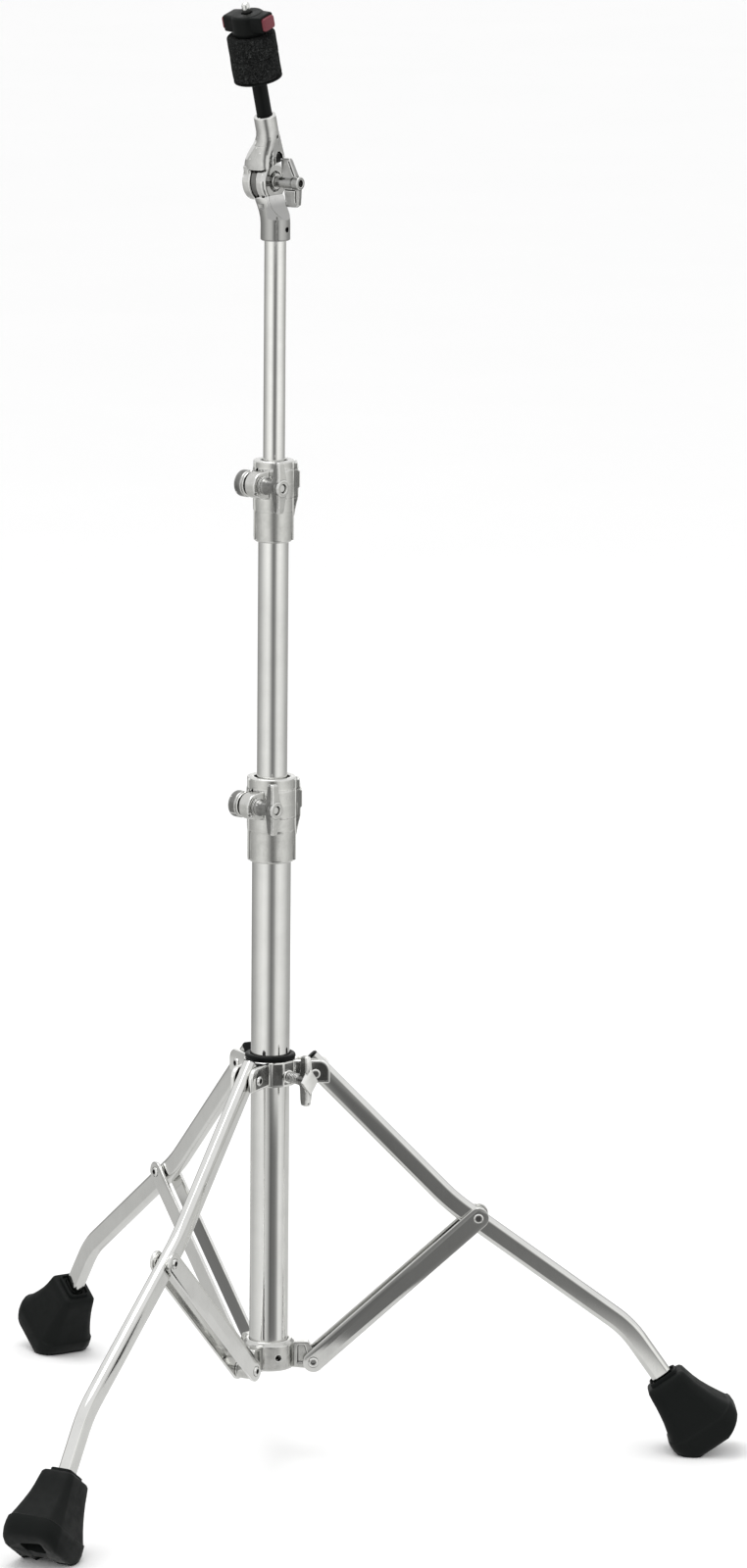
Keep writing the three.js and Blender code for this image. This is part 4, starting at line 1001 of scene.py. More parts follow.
# Pivot screws by Geometry Nodes: one head at each point, turned to its own azimuth
def screw_tree():
    """Geometry Nodes: a low domed head with a key recess at every point."""
    tree, given = sized_tree("Pivot screws", [
        ("Head Radius", 0.0037), ("Head Height", 0.0013), ("Drive Radius", 0.0017), ("Shank Radius", 0.0022),
        ("Shank Length", 0.008),
    ])

    def share_of(size, share):
        return maths(tree, "MULTIPLY", size, share)

    def cone(sides, low, high, depth):
        return drawn(tree, "GeometryNodeMeshCone", "Mesh", {
            "Vertices": sides, "Radius Bottom": low, "Radius Top": high, "Depth": depth})

    def lifted(geometry, height):
        lift = drawn(tree, "ShaderNodeCombineXYZ", "Vector", {"Z": height})
        return drawn(tree, "GeometryNodeTransform", "Geometry", {"Geometry": geometry, "Translation": lift})

    radius = given["Head Radius"]
    height = given["Head Height"]
    key = given["Drive Radius"]
    pin = given["Shank Radius"]
    lower = share_of(height, 0.45)
    shoulder = share_of(radius, 0.955)
    band = cone(40, radius, shoulder, lower)
    dome = lifted(cone(40, shoulder, share_of(radius, 0.72), share_of(height, 0.55)), lower)
    drive = lifted(cone(6, key, key, share_of(height, 2.5)), share_of(height, -0.7))
    shank = lifted(cone(24, pin, pin, given["Shank Length"]), share_of(given["Shank Length"], -1.0))
    joined = add_node(tree, "GeometryNodeMeshBoolean", operation="UNION", solver="EXACT")
    for part in (band, dome, shank):
        tree.links.new(part, joined.inputs["Mesh 2"])
    screw = drawn(tree, "GeometryNodeMeshBoolean", "Mesh", {
        "Mesh 1": joined.outputs["Mesh"], "Mesh 2": drive}, operation="DIFFERENCE", solver="EXACT")
    azimuth = drawn(tree, "GeometryNodeInputNamedAttribute", "Attribute", {"Name": "azimuth"},
                    data_type="FLOAT")
    spin = drawn(tree, "ShaderNodeCombineXYZ", "Vector", {"X": math.pi / 2, "Z": azimuth})
    rotation = drawn(tree, "FunctionNodeEulerToRotation", "Rotation", {"Euler": spin})
    return close_tree(tree, given, drawn(tree, "GeometryNodeInstanceOnPoints", "Instances", {
        "Points": given["Geometry"], "Instance": screw, "Rotation": rotation}))


def screw_points(pivots):
    """Points with an azimuth for each of a pivot's two heads: (azimuth, radius, height, reach)."""
    points = []
    angles = []
    for azimuth, radius, height, reach in pivots:
        angle = math.radians(azimuth)
        outward = Vector((math.cos(angle), math.sin(angle), 0))
        sideways = Vector((-outward.y, outward.x, 0))
        for side in (-1, 1):
            points.append((outward * radius + sideways * side * reach + Vector((0, 0, height))) * MILLIMETRE)
            angles.append(angle if side < 0 else angle + math.pi)
    mesh = bpy.data.meshes.new("screw points")
    mesh.from_pydata(points, [], [])
    attribute = mesh.attributes.new("azimuth", "FLOAT", "POINT")
    attribute.data.foreach_set("value", angles)
    return mesh


COLLAR_EAR_OUTER = LEG_HALF + 1.0 + 3.4


class STAND_OT_pivot_screws(bpy.types.Operator):
    """Build the nine pivot screws of the tripod, one mesh for each body they sit in"""

    bl_idname = "stand.pivot_screws"
    bl_label = "Pivot screws"

    def execute(self, context):
        sizes = context.scene.screw_sizes
        tree = screw_tree()
        brace_reach = BAR_OUTER - 0.2
        ear_reach = COLLAR_EAR_OUTER + FIT / 2
        sets = [
            ("hub_pivot_screws", [f"hub_screw_{name}" for name in AZIMUTHS],
             [(azimuth, PIVOT_RADIUS, HUB_PIVOT, brace_reach) for azimuth in AZIMUTHS.values()]),
            ("collar_pivot_screws", [f"collar_screw_{name}" for name in AZIMUTHS],
             [(azimuth, PIVOT_RADIUS, COLLAR_PIVOT, ear_reach) for azimuth in AZIMUTHS.values()]),
        ]
        for name, azimuth in AZIMUTHS.items():
            sets.append((f"knee_pivot_screw_{name}", [f"knee_screw_{name}"],
                         [(azimuth, KNEE_RADIUS, KNEE_HEIGHT, brace_reach)]))
        for name, nodes, pivots in sets:
            form = grown(screw_points(pivots), tree, {
                "Head Radius": sizes.head_radius, "Head Height": sizes.head_height,
                "Drive Radius": sizes.drive_radius, "Shank Length": pivots[0][3] * MILLIMETRE * 0.999,
                "Finish": finish("Screw steel"),
            })
            form.transform(TO_MILLIMETRES)
            finish_piece(name, form, stand_frame(), "Screw steel", *nodes, smooth=30)
        return {"FINISHED"}


# Rubber boots
BOOT_STATIONS = [
    (0.0, 0.0, 9.6, 7.0, 2.5, 0.0),
    (-1.7, 0.0, 9.9, 7.3, 2.6, 0.0),
    (-1.9, 0.0, 10.4, 7.8, 2.8, 0.0),
    (-1.6, 0.0, 10.9, 8.3, 3.0, 0.0),
    (0.9, 0.0, 11.2, 8.6, 3.2, 0.0),
    (1.1, 0.0, 13.2, 10.8, 3.8, 0.0),
    (1.6, 0.0, 14.4, 12.0, 4.2, 0.0),
    (3.2, 0.0, 15.5, 13.1, 4.6, 0.0),
    (8.0, 0.2, 16.3, 13.9, 5.2, 0.1),
    (14.0, 0.6, 17.3, 14.8, 6.0, 0.5),
    (20.5, 1.2, 18.8, 16.1, 7.0, 1.1),
    (27.0, 2.0, 20.7, 17.6, 8.0, 2.0),
    (33.0, 2.7, 22.9, 19.1, 9.0, 3.0),
    (38.0, 3.2, 24.9, 20.6, 10.0, 4.2),
    (40.2, 3.4, 25.9, 21.3, 10.6, 4.8),
    (40.9, 3.5, 26.3, 21.6, 10.8, 5.0),
    (41.4, 3.5, 27.4, 22.3, 11.4, 5.2),
    (43.6, 3.6, 27.9, 22.6, 12.0, 6.0),
    (48.0, 3.5, 28.0, 22.7, 12.0, 7.6),
    (51.8, 3.4, 27.2, 22.2, 12.0, 9.0),
    (54.6, 3.0, 25.6, 20.8, 11.6, 8.6),
    (56.2, 2.7, 23.6, 19.0, 11.0, 7.7),
]


def boot_ring(mouth, along, station, steps=6):
    """A ring of the boot; each station is (way down, centre, half depth, half width, corner, bulge)."""
    down, centre, half_depth, half_width, corner, bulge = station
    across = Vector((-along.y, along.x))
    ring = []
    for deep, wide in rounded_box(half_depth, half_width, corner, steps):
        crown = 1 - (deep / half_depth) ** 2
        point = mouth + along * (down + bulge * crown) + across * (deep + centre)
        ring.append((point.x, wide, point.y))
    return ring


def boot_form():
    """The boot with a raised lip round its mouth, a step above the sole and two openings under it."""
    second, mouth = leg_path()[2:]
    along = (mouth - second).normalized()
    body = lofted([boot_ring(mouth, along, station) for station in BOOT_STATIONS])
    pocket = lofted([section_ring(mouth + along * reach, along, 8.1, 5.05, 3.0) for reach in (-6.0, 33.9)])
    sole_level = block((mouth.x - 60, -60, -40), (mouth.x + 60, 60, 0.0))
    across = Vector((-along.y, along.x))
    openings = []
    for from_heel, to_toe in ((-19.0, -3.0), (3.5, 17.0)):
        corners = [(from_heel, -8.5, 3.0), (to_toe, -8.5, 3.0), (to_toe, 8.5, 3.0), (from_heel, 8.5, 3.0)]
        rows = []
        for reach in (54.0, 72.0):
            base = mouth + along * reach
            rows.append([
                (base.x + across.x * (deep + 3), wide, base.y + across.y * (deep + 3))
                for deep, wide in rounded_path(corners)
            ])
        openings.append(lofted(rows))
    return with_cut(body, pocket, sole_level, *openings)


class STAND_OT_boots(bpy.types.Operator):
    """Build the three rubber boots"""

    bl_idname = "stand.boots"
    bl_label = "Rubber boots"

    def execute(self, context):
        for name, azimuth in AZIMUTHS.items():
            form = boot_form()
            finish_piece(f"foot_{name}_boot", form, stand_frame(azimuth), "Boot rubber", f"foot_{name}",
                         smooth=42)
        return {"FINISHED"}


# Sliding collar
COLLAR_BORE = 15.99
COLLAR_RADIUS = 19.6
COLLAR_BOTTOM = 280.0
COLLAR_TOP = 298.6
COLLAR_BOLT_AZIMUTH = -49.0
COLLAR_BOLT_HEIGHT = 287.7
EAR_BOTTOM = 281.2
EAR_TOP = 298.4
EAR_END = 43.6
EAR_FACE_START = 16.9
# Leg, side and end of each ear's recess that shows
COLLAR_FACES = {
    "right_near": ("right", -1, EAR_END), "right_far": ("right", 1, EAR_END),
    "front_near": ("front", 1, 39.2), "front_far": ("front", -1, 39.2),
}
# Azimuth, distance from the axis and half width of the flats around the collar's front
COLLAR_FLATS = [(-74.5, 19.06, 3.6), (-44.5, 18.8, 4.5)]


def ear_outline(start, end, low_corner, high_corner, inset=0.0):
    """The outline of a collar ear, or of the recess in it."""
    low = EAR_BOTTOM + inset
    high = EAR_TOP - inset
    return rounded_path([
        (start + inset, low), (end - inset, low, low_corner), (end - inset, high, high_corner),
        (start + inset, high),
    ], 8)


def collar_ears():
    """Both ears for each of the three legs."""
    outline = ear_outline(12.0, EAR_END, 1.4, 8.0)
    ears = []
    for azimuth in AZIMUTHS.values():
        for side in (-1, 1):
            near, far = sorted((side * (LEG_HALF + 1.0), side * COLLAR_EAR_OUTER))
            ears.append(moved(bevelled(plate(outline, near, far), 1.0, 4, 60), turn(azimuth, "Z")))
    return ears


def collar_face(side, end, inset, start, stop):
    """What fills the recess in an ear's outer face, between two distances from that face."""
    depth = sorted((side * (COLLAR_EAR_OUTER + start), side * (COLLAR_EAR_OUTER + stop)))
    return plate(ear_outline(EAR_FACE_START, end, 0.8, 6.0, inset), *depth)


def collar_flat(azimuth, near, far, half_width):
    """A block on a flat, between two distances from the axis."""
    return moved(block((near, -half_width, 281.6), (far, half_width, 297.2)), turn(azimuth, "Z"))


def at_collar_bolt(mesh):
    return moved(mesh, shift(0, 0, COLLAR_BOLT_HEIGHT), turn(COLLAR_BOLT_AZIMUTH, "Z"))


def collar_pin():
    """The hole for a leg's pivot screw."""
    return moved(peg_y(PIN_RADIUS + FIT, -12, 12), shift(PIVOT_RADIUS, 0, COLLAR_PIVOT))


def collar_form():
    """The ring with its ears, flats, boss and holes."""
    ring = turned([
        (COLLAR_BORE, COLLAR_BOTTOM, 0.4), (COLLAR_RADIUS, COLLAR_BOTTOM, 0.9),
        (COLLAR_RADIUS, COLLAR_TOP, 0.9), (COLLAR_BORE, COLLAR_TOP, 0.4),
    ])
    flats = [(60, 18.35)] + [(azimuth, flat) for azimuth, flat, half_width in COLLAR_FLATS]
    cuts = [moved(block((flat, -12, 275), (24, 12, 303)), turn(azimuth, "Z")) for azimuth, flat in flats]
    cuts += [collar_flat(azimuth, flat - 0.6, flat + 1, half_width)
             for azimuth, flat, half_width in COLLAR_FLATS]
    boss = at_collar_bolt(peg_x(5.0, COLLAR_BORE, 21.2, 0.6))
    holes = [turned(rod(COLLAR_BORE, 270, 310)), at_collar_bolt(peg_x(BOLT_HOLE, 0, 30))]
    holes += [moved(collar_pin(), turn(azimuth, "Z")) for azimuth in AZIMUTHS.values()]
    holes += [moved(collar_face(side, end, 1.7, -0.7, 2), turn(AZIMUTHS[leg], "Z"))
              for leg, side, end in COLLAR_FACES.values()]
    return bevelled(with_cut(with_added(with_cut(ring, *cuts), *collar_ears(), boss), *holes), 0.35, 2, 34)


def collar_bushing_form():
    """The black ring inside the collar, with a lip above it."""
    ring = turned([
        (BASE_BORE, COLLAR_BOTTOM), (15.69, COLLAR_BOTTOM), (15.69, 298.75), (18.6, 298.75, 1.6),
        (18.6, 302.6, 1.8), (BASE_BORE, 302.6, 1.2),
    ], 96)
    return with_cut(ring, at_collar_bolt(peg_x(BOLT_HOLE, 0, 30)))


class STAND_OT_collar(bpy.types.Operator):
    """Build the polished collar, its black bushing and its wing bolt"""

    bl_idname = "stand.collar"
    bl_label = "Leg collar"

    def execute(self, context):
        finish_piece("collar_casting", collar_form(), stand_frame(), "Bright casting", "leg_collar")
        # The ears' recessed faces and the flats are thin dark panels: partly an as-cast finish, partly a
        # painted dark reflection
        for label, (leg, side, end) in COLLAR_FACES.items():
            wall = turned(rod(COLLAR_RADIUS + 0.1, 270, 310), 96)
            face = with_cut(collar_face(side, end, 1.85, -0.68, -0.35), collar_pin(), wall)
            finish_piece(f"collar_face_{label}", face, stand_frame(AZIMUTHS[leg]), "As-cast face",
                         "leg_collar", smooth=30)
        for number, (azimuth, flat, half_width) in enumerate(COLLAR_FLATS, 1):
            panel = collar_flat(azimuth, flat - 0.57, flat - 0.25, half_width - 0.12)
            panel = with_cut(panel, at_collar_bolt(peg_x(5.2, 10, 25)))
            finish_piece(f"collar_flat_{number}", panel, stand_frame(), "As-cast face", "leg_collar",
                         smooth=30)
        finish_piece("collar_bushing_ring", collar_bushing_form(), stand_frame(), "Black plastic",
                     "collar_bushing")
        place = stand_frame(COLLAR_BOLT_AZIMUTH, COLLAR_BOLT_HEIGHT)
        # The wing's body is a rough casting darkened as painted shade; its polished front stays bright
        finish_piece("collar_bolt_wing", collar_bolt_form(), place, "Raw casting", "collar_wing_bolt")
        finish_piece("collar_bolt_face", collar_bolt_face(), place, "Bright casting", "collar_wing_bolt",
                     smooth=32, slot="satin_cast")
        return {"FINISHED"}


# Wings: rounded blades above and below a stem along X
def blade_form(stations, rounding=0.7, lower=None):
    """A two-ended blade; each station is (height, from, to, half thickness) of its upper half."""
    whole = [(-height, start, end, thick) for height, start, end, thick in reversed(lower or stations)]
    whole += [station for station in stations if station[0] > 0]
    rings = []
    for height, start, end, thick in whole:
        corner = min(thick, (end - start) / 2) * rounding
        outline = rounded_path([(start, -thick, corner), (end, -thick, corner), (end, thick, corner),
                                (start, thick, corner)], 4)
        rings.append([(x, y, height) for x, y in outline])
    return lofted(rings)


def pinched(share, power=1.9):
    return math.copysign(abs(share) ** power, share)


def lens_form(start, end, half_height, half_width):
    """The pointed oval boss in front of a wing, its outline across X."""
    outline = []
    for step in range(40):
        angle = 2 * math.pi * step / 40
        lift = math.sin(angle)
        outline.append((half_width * pinched(math.cos(angle)), half_height * pinched(lift)))
    return lofted([[(x, y, z) for y, z in outline] for x in (start, end)])


# Height, back, front (both behind the wing's end) and half thickness along the collar wing's blade
COLLAR_BLADE = [
    (0.0, 10.0, 0.8, 3.0), (7.0, 9.8, 1.1, 2.5), (14.0, 9.6, 1.8, 2.2),
    (17.6, 9.2, 2.4, 2.0), (18.6, 8.4, 3.2, 1.4),
]


def collar_bolt_form():
    """The threaded stem and the wing of the collar's bolt."""
    end = 44.5
    profile = [(0, 16.3), (3.0, 16.3), (3.0, 21.8)]
    for turn_number in range(8):
        start = 21.8 + 1.5 * turn_number
        profile += [(3.5, start), (4.1, start + 0.45), (4.1, start + 0.75), (3.5, start + 1.2)]
    profile += [(4.4, 33.9, 0.3), (4.4, end - 6), (5.4, end - 4.2, 0.8), (5.4, end - 3.4), (0, end - 3.4)]
    stem = turned_along_x(profile)
    blade = blade_form([(height, end - back, end - front - 1.2, thick)
                        for height, back, front, thick in COLLAR_BLADE], 0.3)
    return cast(with_cut(with_added(stem, blade), lens_form(end - 3.62, end + 1, 9.3, 7.1)), 0.8, 2)


def collar_bolt_face():
    """The polished front of the collar's wing: a pointed oval with a strip along both blades."""
    end = 44.5
    blade = blade_form([(height, end - front - 1.17, end - front, thick)
                        for height, back, front, thick in COLLAR_BLADE], 0.6)
    return bevelled(with_added(lens_form(end - 3.6, end - 0.1, 9.1, 6.9), blade), 0.3, 2, 50)


# Height clamps
CLAMPS = {
    "lower": {
        "height": 490.0, "tube": 14.29, "wall": 1.5, "inner": 11.11, "rim": 18.1, "band": 18.6,
        "sleeve": 18.3, "sleeve_end": 17.3, "bottom": -43.8, "top": 19.0, "rib": 22.0, "offset": 23.6,
        "tube_top": 4.0,
    },
    "upper": {
        "height": 724.8, "tube": 11.11, "wall": 1.3, "inner": 7.94, "rim": 14.9, "band": 15.3,
        "sleeve": 15.1, "sleeve_end": 14.1, "bottom": -43.2, "top": 16.5, "rib": 18.8, "offset": 19.2,
        "tube_top": 2.2,
    },
}
CLAMP_AZIMUTH = -44.0
BAND_HALF = 10.4
SLOT = 1.0
EAR_RADIUS = 9.8
LEFT_EAR = -13.0
SPLIT = (-3.9, -2.0)
RIGHT_EAR = 7.6
NUT_FROM = 9.8
NUT_END = 27.6
NUT_FACE = 1.3
# Height, back, front (both behind the nut's end) and half thickness along a clamp nut's blade
NUT_BLADE = [
    (0.0, 8.4, 0.5, 4.9), (5.0, 8.4, 0.6, 4.2), (8.0, 8.3, 0.9, 3.5),
    (12.0, 8.1, 1.4, 3.1), (17.6, 7.7, 2.1, 2.7), (18.8, 7.0, 2.7, 2.0),
]
SIDE_RIB_SHARE = 0.48
CAP_END = -5.4


def wedge(radius, start, end, low, high):
    """A sector of a disc about Z between two angles and two heights."""
    outline = [(0.0, 0.0)]
    for step in range(25):
        angle = math.radians(start + (end - start) * step / 24)
        outline.append((radius * math.cos(angle), radius * math.sin(angle)))
    return slab(outline, low, high)


def clamp_form(c):
    """A cast sleeve with a split band, two ears and ribs."""
    mouth = c["inner"] + 2
    body = turned([
        (mouth, c["bottom"]), (c["sleeve_end"], c["bottom"], 2.0), (c["sleeve"] - 0.5, -20.6),
        (c["sleeve"] - 0.2, -20.0), (c["sleeve"], -BAND_HALF), (c["band"], -BAND_HALF, 0.3),
        (c["band"] + 0.35, -0.4, 0.2), (c["band"] + 0.2, 0.1, 0.2),
        (c["band"], BAND_HALF, 0.3), (c["rim"], BAND_HALF + SLOT), (c["rim"], c["top"], 1.0),
        (mouth, c["top"], 0.5),
    ])
    lift = shift(0, -c["offset"], 0)
    left = moved(peg_x(EAR_RADIUS - 0.6, CAP_END, SPLIT[0], sides=56), lift)
    right = moved(peg_x(EAR_RADIUS, SPLIT[1], RIGHT_EAR, 0.8, sides=56), lift)
    web = block((CAP_END, -c["offset"], -EAR_RADIUS), (RIGHT_EAR, -EAR_RADIUS / 2, EAR_RADIUS))
    rib = lofted([
        [(c["tube"], -w, z), (reach, -w, z), (reach, w, z), (c["tube"], w, z)]
        for z, reach, w in (
            (-BAND_HALF - 14.0, c["sleeve"] - 0.4, 2.6), (-BAND_HALF - 4.0, c["rib"] - 2.2, 4.6),
            (-BAND_HALF, c["rib"] - 1.2, 5.4), (-3.4, c["rib"] - 1.0, 5.6), (-3.0, c["rib"], 5.6),
            (BAND_HALF - 1.4, c["rib"] - 0.1, 5.6), (BAND_HALF - 1.0, c["rib"] - 1.1, 5.6),
            (c["top"] - 1.4, c["rib"] - 1.9, 5.4),
        )
    ])
    half = c["rim"] * SIDE_RIB_SHARE
    side_ribs = []
    for angle in (44, 224):
        strip = block((c["tube"], -half, c["bottom"] + 1.6), (c["sleeve_end"] + 0.35, half, c["top"] - 0.9))
        side_ribs.append(moved(bevelled(strip, 0.5), turn(angle, "Z")))
    body = with_added(body, left, right, web, moved(rib, turn(44, "Z")), *side_ribs)
    wide = c["offset"] + EAR_RADIUS + 2
    cuts = [
        wedge(wide, -150, 38, level, level + SLOT)
        for level in (BAND_HALF - SLOT / 2, -BAND_HALF - SLOT / 2)
    ]
    cuts.append(block((SPLIT[0], -wide, -BAND_HALF), (SPLIT[1], -c["tube"] / 2, BAND_HALF)))
    cuts.append(turned(rod(c["tube"] + FIT, c["bottom"] - 2, c["top"] - 5.6)))
    cuts.append(moved(peg_x(BOLT_HOLE, -wide, wide), lift))
    cuts.append(moved(peg_x(7.5, RIGHT_EAR, wide), lift))
    cuts.append(moved(peg_x(1.2, RIGHT_EAR - 2, wide), lift, shift(0, -7.2, -5.6)))
    return cast(with_cut(body, *cuts), 1.03, 3)


def clamp_cap_form(c):
    """The round left end of the clamp, sand-rough and darkened as painted shade, around the bolt's head."""
    lift = shift(0, -c["offset"], 0)
    cap = moved(peg_x(EAR_RADIUS, LEFT_EAR, CAP_END - 0.02, 1.2, sides=72), lift)
    clear = turned(rod(c["band"] + 0.05, -20, 20), 96)
    bore = moved(peg_x(BOLT_HOLE, -40, 0), lift)
    sink = moved(peg_x(5.3, -40, LEFT_EAR + 3.4), lift)
    return cast(with_cut(cap, clear, bore, sink), 1.0, 2)


def wing_nut_form():
    """The raw body of a clamp's wing nut, darkened as painted shade: stem and both blades up to their
    polished front.
    """
    stem = turned_along_x([
        (BOLT_HOLE, NUT_FROM), (6.4, NUT_FROM, 0.4), (6.2, NUT_FROM + 1.6, 0.8), (5.2, NUT_FROM + 4.0, 2.0),
        (4.7, NUT_END - 7.0, 1.0), (5.8, NUT_END - 4.6, 1.0), (5.8, NUT_END - NUT_FACE),
        (BOLT_HOLE, NUT_END - NUT_FACE),
    ], 64)
    blade = blade_form([(height, NUT_END - back, NUT_END - front - NUT_FACE, thick)
                        for height, back, front, thick in NUT_BLADE], 0.25)
    bore = peg_x(BOLT_HOLE, NUT_FROM - 2, NUT_END + 2)
    return cast(with_cut(with_added(stem, blade), bore), 0.8, 2)


def wing_nut_face():
    """The polished front of a clamp's wing nut, round the bolt and along both blades."""
    hub = turned_along_x(tube_profile(BOLT_HOLE, 6.0, NUT_END - NUT_FACE + 0.03, NUT_END, 0.4), 64)
    blade = blade_form([(height, NUT_END - front - NUT_FACE + 0.03, NUT_END - front, thick)
                        for height, back, front, thick in NUT_BLADE], 0.6)
    bore = peg_x(BOLT_HOLE, NUT_FROM - 2, NUT_END + 2)
    return cast(with_cut(with_added(hub, blade), bore), 0.7, 2)


def clamp_bolt_form():
    """The bolt with a round socket head on the left and a chamfered, threaded end on the right."""
    rows = [(0, LEFT_EAR + 0.3), (5.0, LEFT_EAR + 0.3, 0.7), (5.0, LEFT_EAR + 3.25), (3.0, LEFT_EAR + 3.25)]
    low = NUT_FROM + 8
    rows.append((3.0, low))
    for index in range(7):
        rows.append((2.72, low + 0.5 + index))
        rows.append((3.0, low + 1.0 + index))
    rows.append((3.0, NUT_END - 2.0))
    rows.append((2.4, NUT_END - 1.4))
    rows.append((0, NUT_END - 1.4))
    key = peg_x(2.4, LEFT_EAR - 2, LEFT_EAR + 2.2, sides=6)
    return with_cut(turned_along_x(rows, 40), key)


class STAND_OT_clamps(bpy.types.Operator):
    """Build both height clamps with their bushings, bolts, washers and wing nuts"""

    bl_idname = "stand.clamps"
    bl_label = "Height clamps"

    def execute(self, context):
        for name, c in CLAMPS.items():
            place = stand_frame(CLAMP_AZIMUTH, c["height"])
            bolt_place = place @ shift(0, -c["offset"], 0)
            finish_piece(f"{name}_clamp_casting", clamp_form(c), place, "Satin casting", f"{name}_clamp")
            finish_piece(f"{name}_clamp_cap", clamp_cap_form(c), place, "Raw casting", f"{name}_clamp")
            inner = c["inner"] + FIT
            inside = c["tube"] - c["wall"] - FIT
            bushing = turned([
                (inner, -2 * BAND_HALF), (inside, -2 * BAND_HALF), (inside, c["tube_top"] + FIT),
                (c["tube"] - FIT, c["tube_top"] + FIT), (c["tube"] - FIT, c["top"] - 6.0),
                (inner, c["top"] - 6.0, 0.3),
            ])
            finish_piece(f"{name}_clamp_sleeve", bushing, place, "Black plastic", f"{name}_clamp_bushing")
            finish_piece(f"{name}_clamp_screw", clamp_bolt_form(), bolt_place, "Screw steel",
                         f"{name}_clamp_bolt", smooth=30)
            washer = turned_along_x([
                (BOLT_HOLE, RIGHT_EAR + 0.3), (6.9, RIGHT_EAR + 0.3, 0.25), (6.9, RIGHT_EAR + 0.95, 0.2),
                (5.6, RIGHT_EAR + 1.05), (5.6, RIGHT_EAR + 1.15), (6.7, RIGHT_EAR + 1.25, 0.2),
                (6.7, RIGHT_EAR + 1.9, 0.25), (BOLT_HOLE, RIGHT_EAR + 1.9),
            ], 64)
            finish_piece(f"{name}_clamp_washers", washer, bolt_place, "Screw steel", f"{name}_clamp_washer",
                         smooth=30)
            finish_piece(f"{name}_clamp_nut_wing", wing_nut_form(), bolt_place, "Raw casting",
                         f"{name}_clamp_wing_nut")
            finish_piece(f"{name}_clamp_nut_face", wing_nut_face(), bolt_place, "Satin casting",
                         f"{name}_clamp_wing_nut")
        return {"FINISHED"}


# Tilter
DISC = 14.4
HEAD_DISC = (-19.6, -12.8)
BASE_DISC = (-7.4, 0.0)
SOCKET_BOTTOM = -42.2


def oval(centre_x, half_x, half_y, height, power=1.0, centre_y=0.0):
    """An oval ring in the XY plane; a power below 1 makes it squarer."""
    points = []
    for step in range(56):
        angle = 2 * math.pi * step / 56
        c = math.cos(angle)
        s = math.sin(angle)
        points.append((
            centre_x + half_x * math.copysign(abs(c) ** power, c),
            centre_y + half_y * math.copysign(abs(s) ** power, s),
            height,
        ))
    return points


def tilter_base_form():
    """The lower casting: a socket on the top tube and a disc."""
    neck = lofted([
        oval(0, 10.0, 10.0, SOCKET_BOTTOM), oval(0, 10.8, 10.8, SOCKET_BOTTOM + 0.8),
        oval(0, 10.8, 10.8, SOCKET_BOTTOM + 12), oval(-0.3, 10.9, 10.7, SOCKET_BOTTOM + 16),
        oval(-1.3, 11.2, 10.5, SOCKET_BOTTOM + 20.5), oval(-2.6, 11.6, 10.4, SOCKET_BOTTOM + 24.5, 0.98),
        oval(-4.0, 11.6, 10.5, SOCKET_BOTTOM + 28, 0.94), oval(-4.8, 11.0, 10.5, SOCKET_BOTTOM + 30.5, 0.86),
        oval(-5.0, 8.4, 9.6, -10, 0.6),
    ])
    disc = turned_along_x([(0, BASE_DISC[0]), (DISC, BASE_DISC[0], 0.8), (DISC, BASE_DISC[1], 3.0),
                           (0, BASE_DISC[1])], 80, 8)
    parting = block((BASE_DISC[0] - 1, -DISC - 1, 5.1), (BASE_DISC[1] + 1, -12.9, 5.6))
    washer_seat = turned_along_x([
        (4.5, -0.3), (5.9, -0.3), (5.9, -3.2), (7.5, -3.2), (7.5, 2), (4.5, 2),
    ], 64)
    clear = peg_x(DISC + 0.6, -24, BASE_DISC[0], sides=80)
    front = plate([(0, 22), (0, -8.5), (1.0, -13.0), (3.2, -18.0), (6.6, -22.6), (10.4, -26.4), (13.5, -28.6),
                   (13.5, 22)], -16, 16)
    sweep = peg_x(18.0, 8.8, 13, sides=80)
    bore = turned(rod(8.24, SOCKET_BOTTOM - 2, -27.7))
    bolt = peg_x(BOLT_HOLE, -20, 4)
    screw = moved(peg_x(1.9, 0, 13), shift(0, 0, -34))
    recess = moved(turned(rod(1, -1, 1), 40), Matrix.Diagonal((4.4, 2.2, 1.7, 1)), shift(-7.0, -10.6, -17.5))
    mark = moved(turned(rod(1, -1, 1), 24), Matrix.Diagonal((1.7, 1.5, 0.8, 1)), shift(-3.7, -10.6, -10.4))
    groove = lofted([
        [(9.5, -0.5, SOCKET_BOTTOM - 1), (12.0, -1.0, SOCKET_BOTTOM - 1), (12.0, 1.0, SOCKET_BOTTOM - 1),
         (9.5, 0.5, SOCKET_BOTTOM - 1)],
        [(9.7, -0.3, -19.5), (12.0, -0.6, -19.5), (12.0, 0.6, -19.5), (9.7, 0.3, -19.5)],
    ])
    groove = moved(groove, turn(-47, "Z"))
    body = with_added(with_cut(neck, clear, front, sweep, groove), disc)
    return cast(with_cut(body, bore, bolt, washer_seat, screw, recess, mark, parting), 0.72, 1)


# Outline of the pocket in the head's web: sideways, height
TILTER_POCKET = [
    (-0.5, 10.0), (9.4, 10.0), (8.2, DISC + 3.4), (5.6, DISC + 6.8), (2.6, DISC + 7.6), (0.2, DISC + 4.0),
]


def tilter_pocket_shade_form():
    """A near-black panel at the bottom of that pocket: painted shade."""
    bottom = [
        (0.1, 12.4), (8.6, 12.4), (7.4, DISC + 3.2), (5.1, DISC + 6.2), (2.9, DISC + 6.9), (0.8, DISC + 3.8),
    ]
    panel = moved(plate(bottom, -1.5, -1.05), turn(90, "Z"))
    return with_cut(panel, peg_x(13.6, HEAD_DISC[1], 13, sides=80))


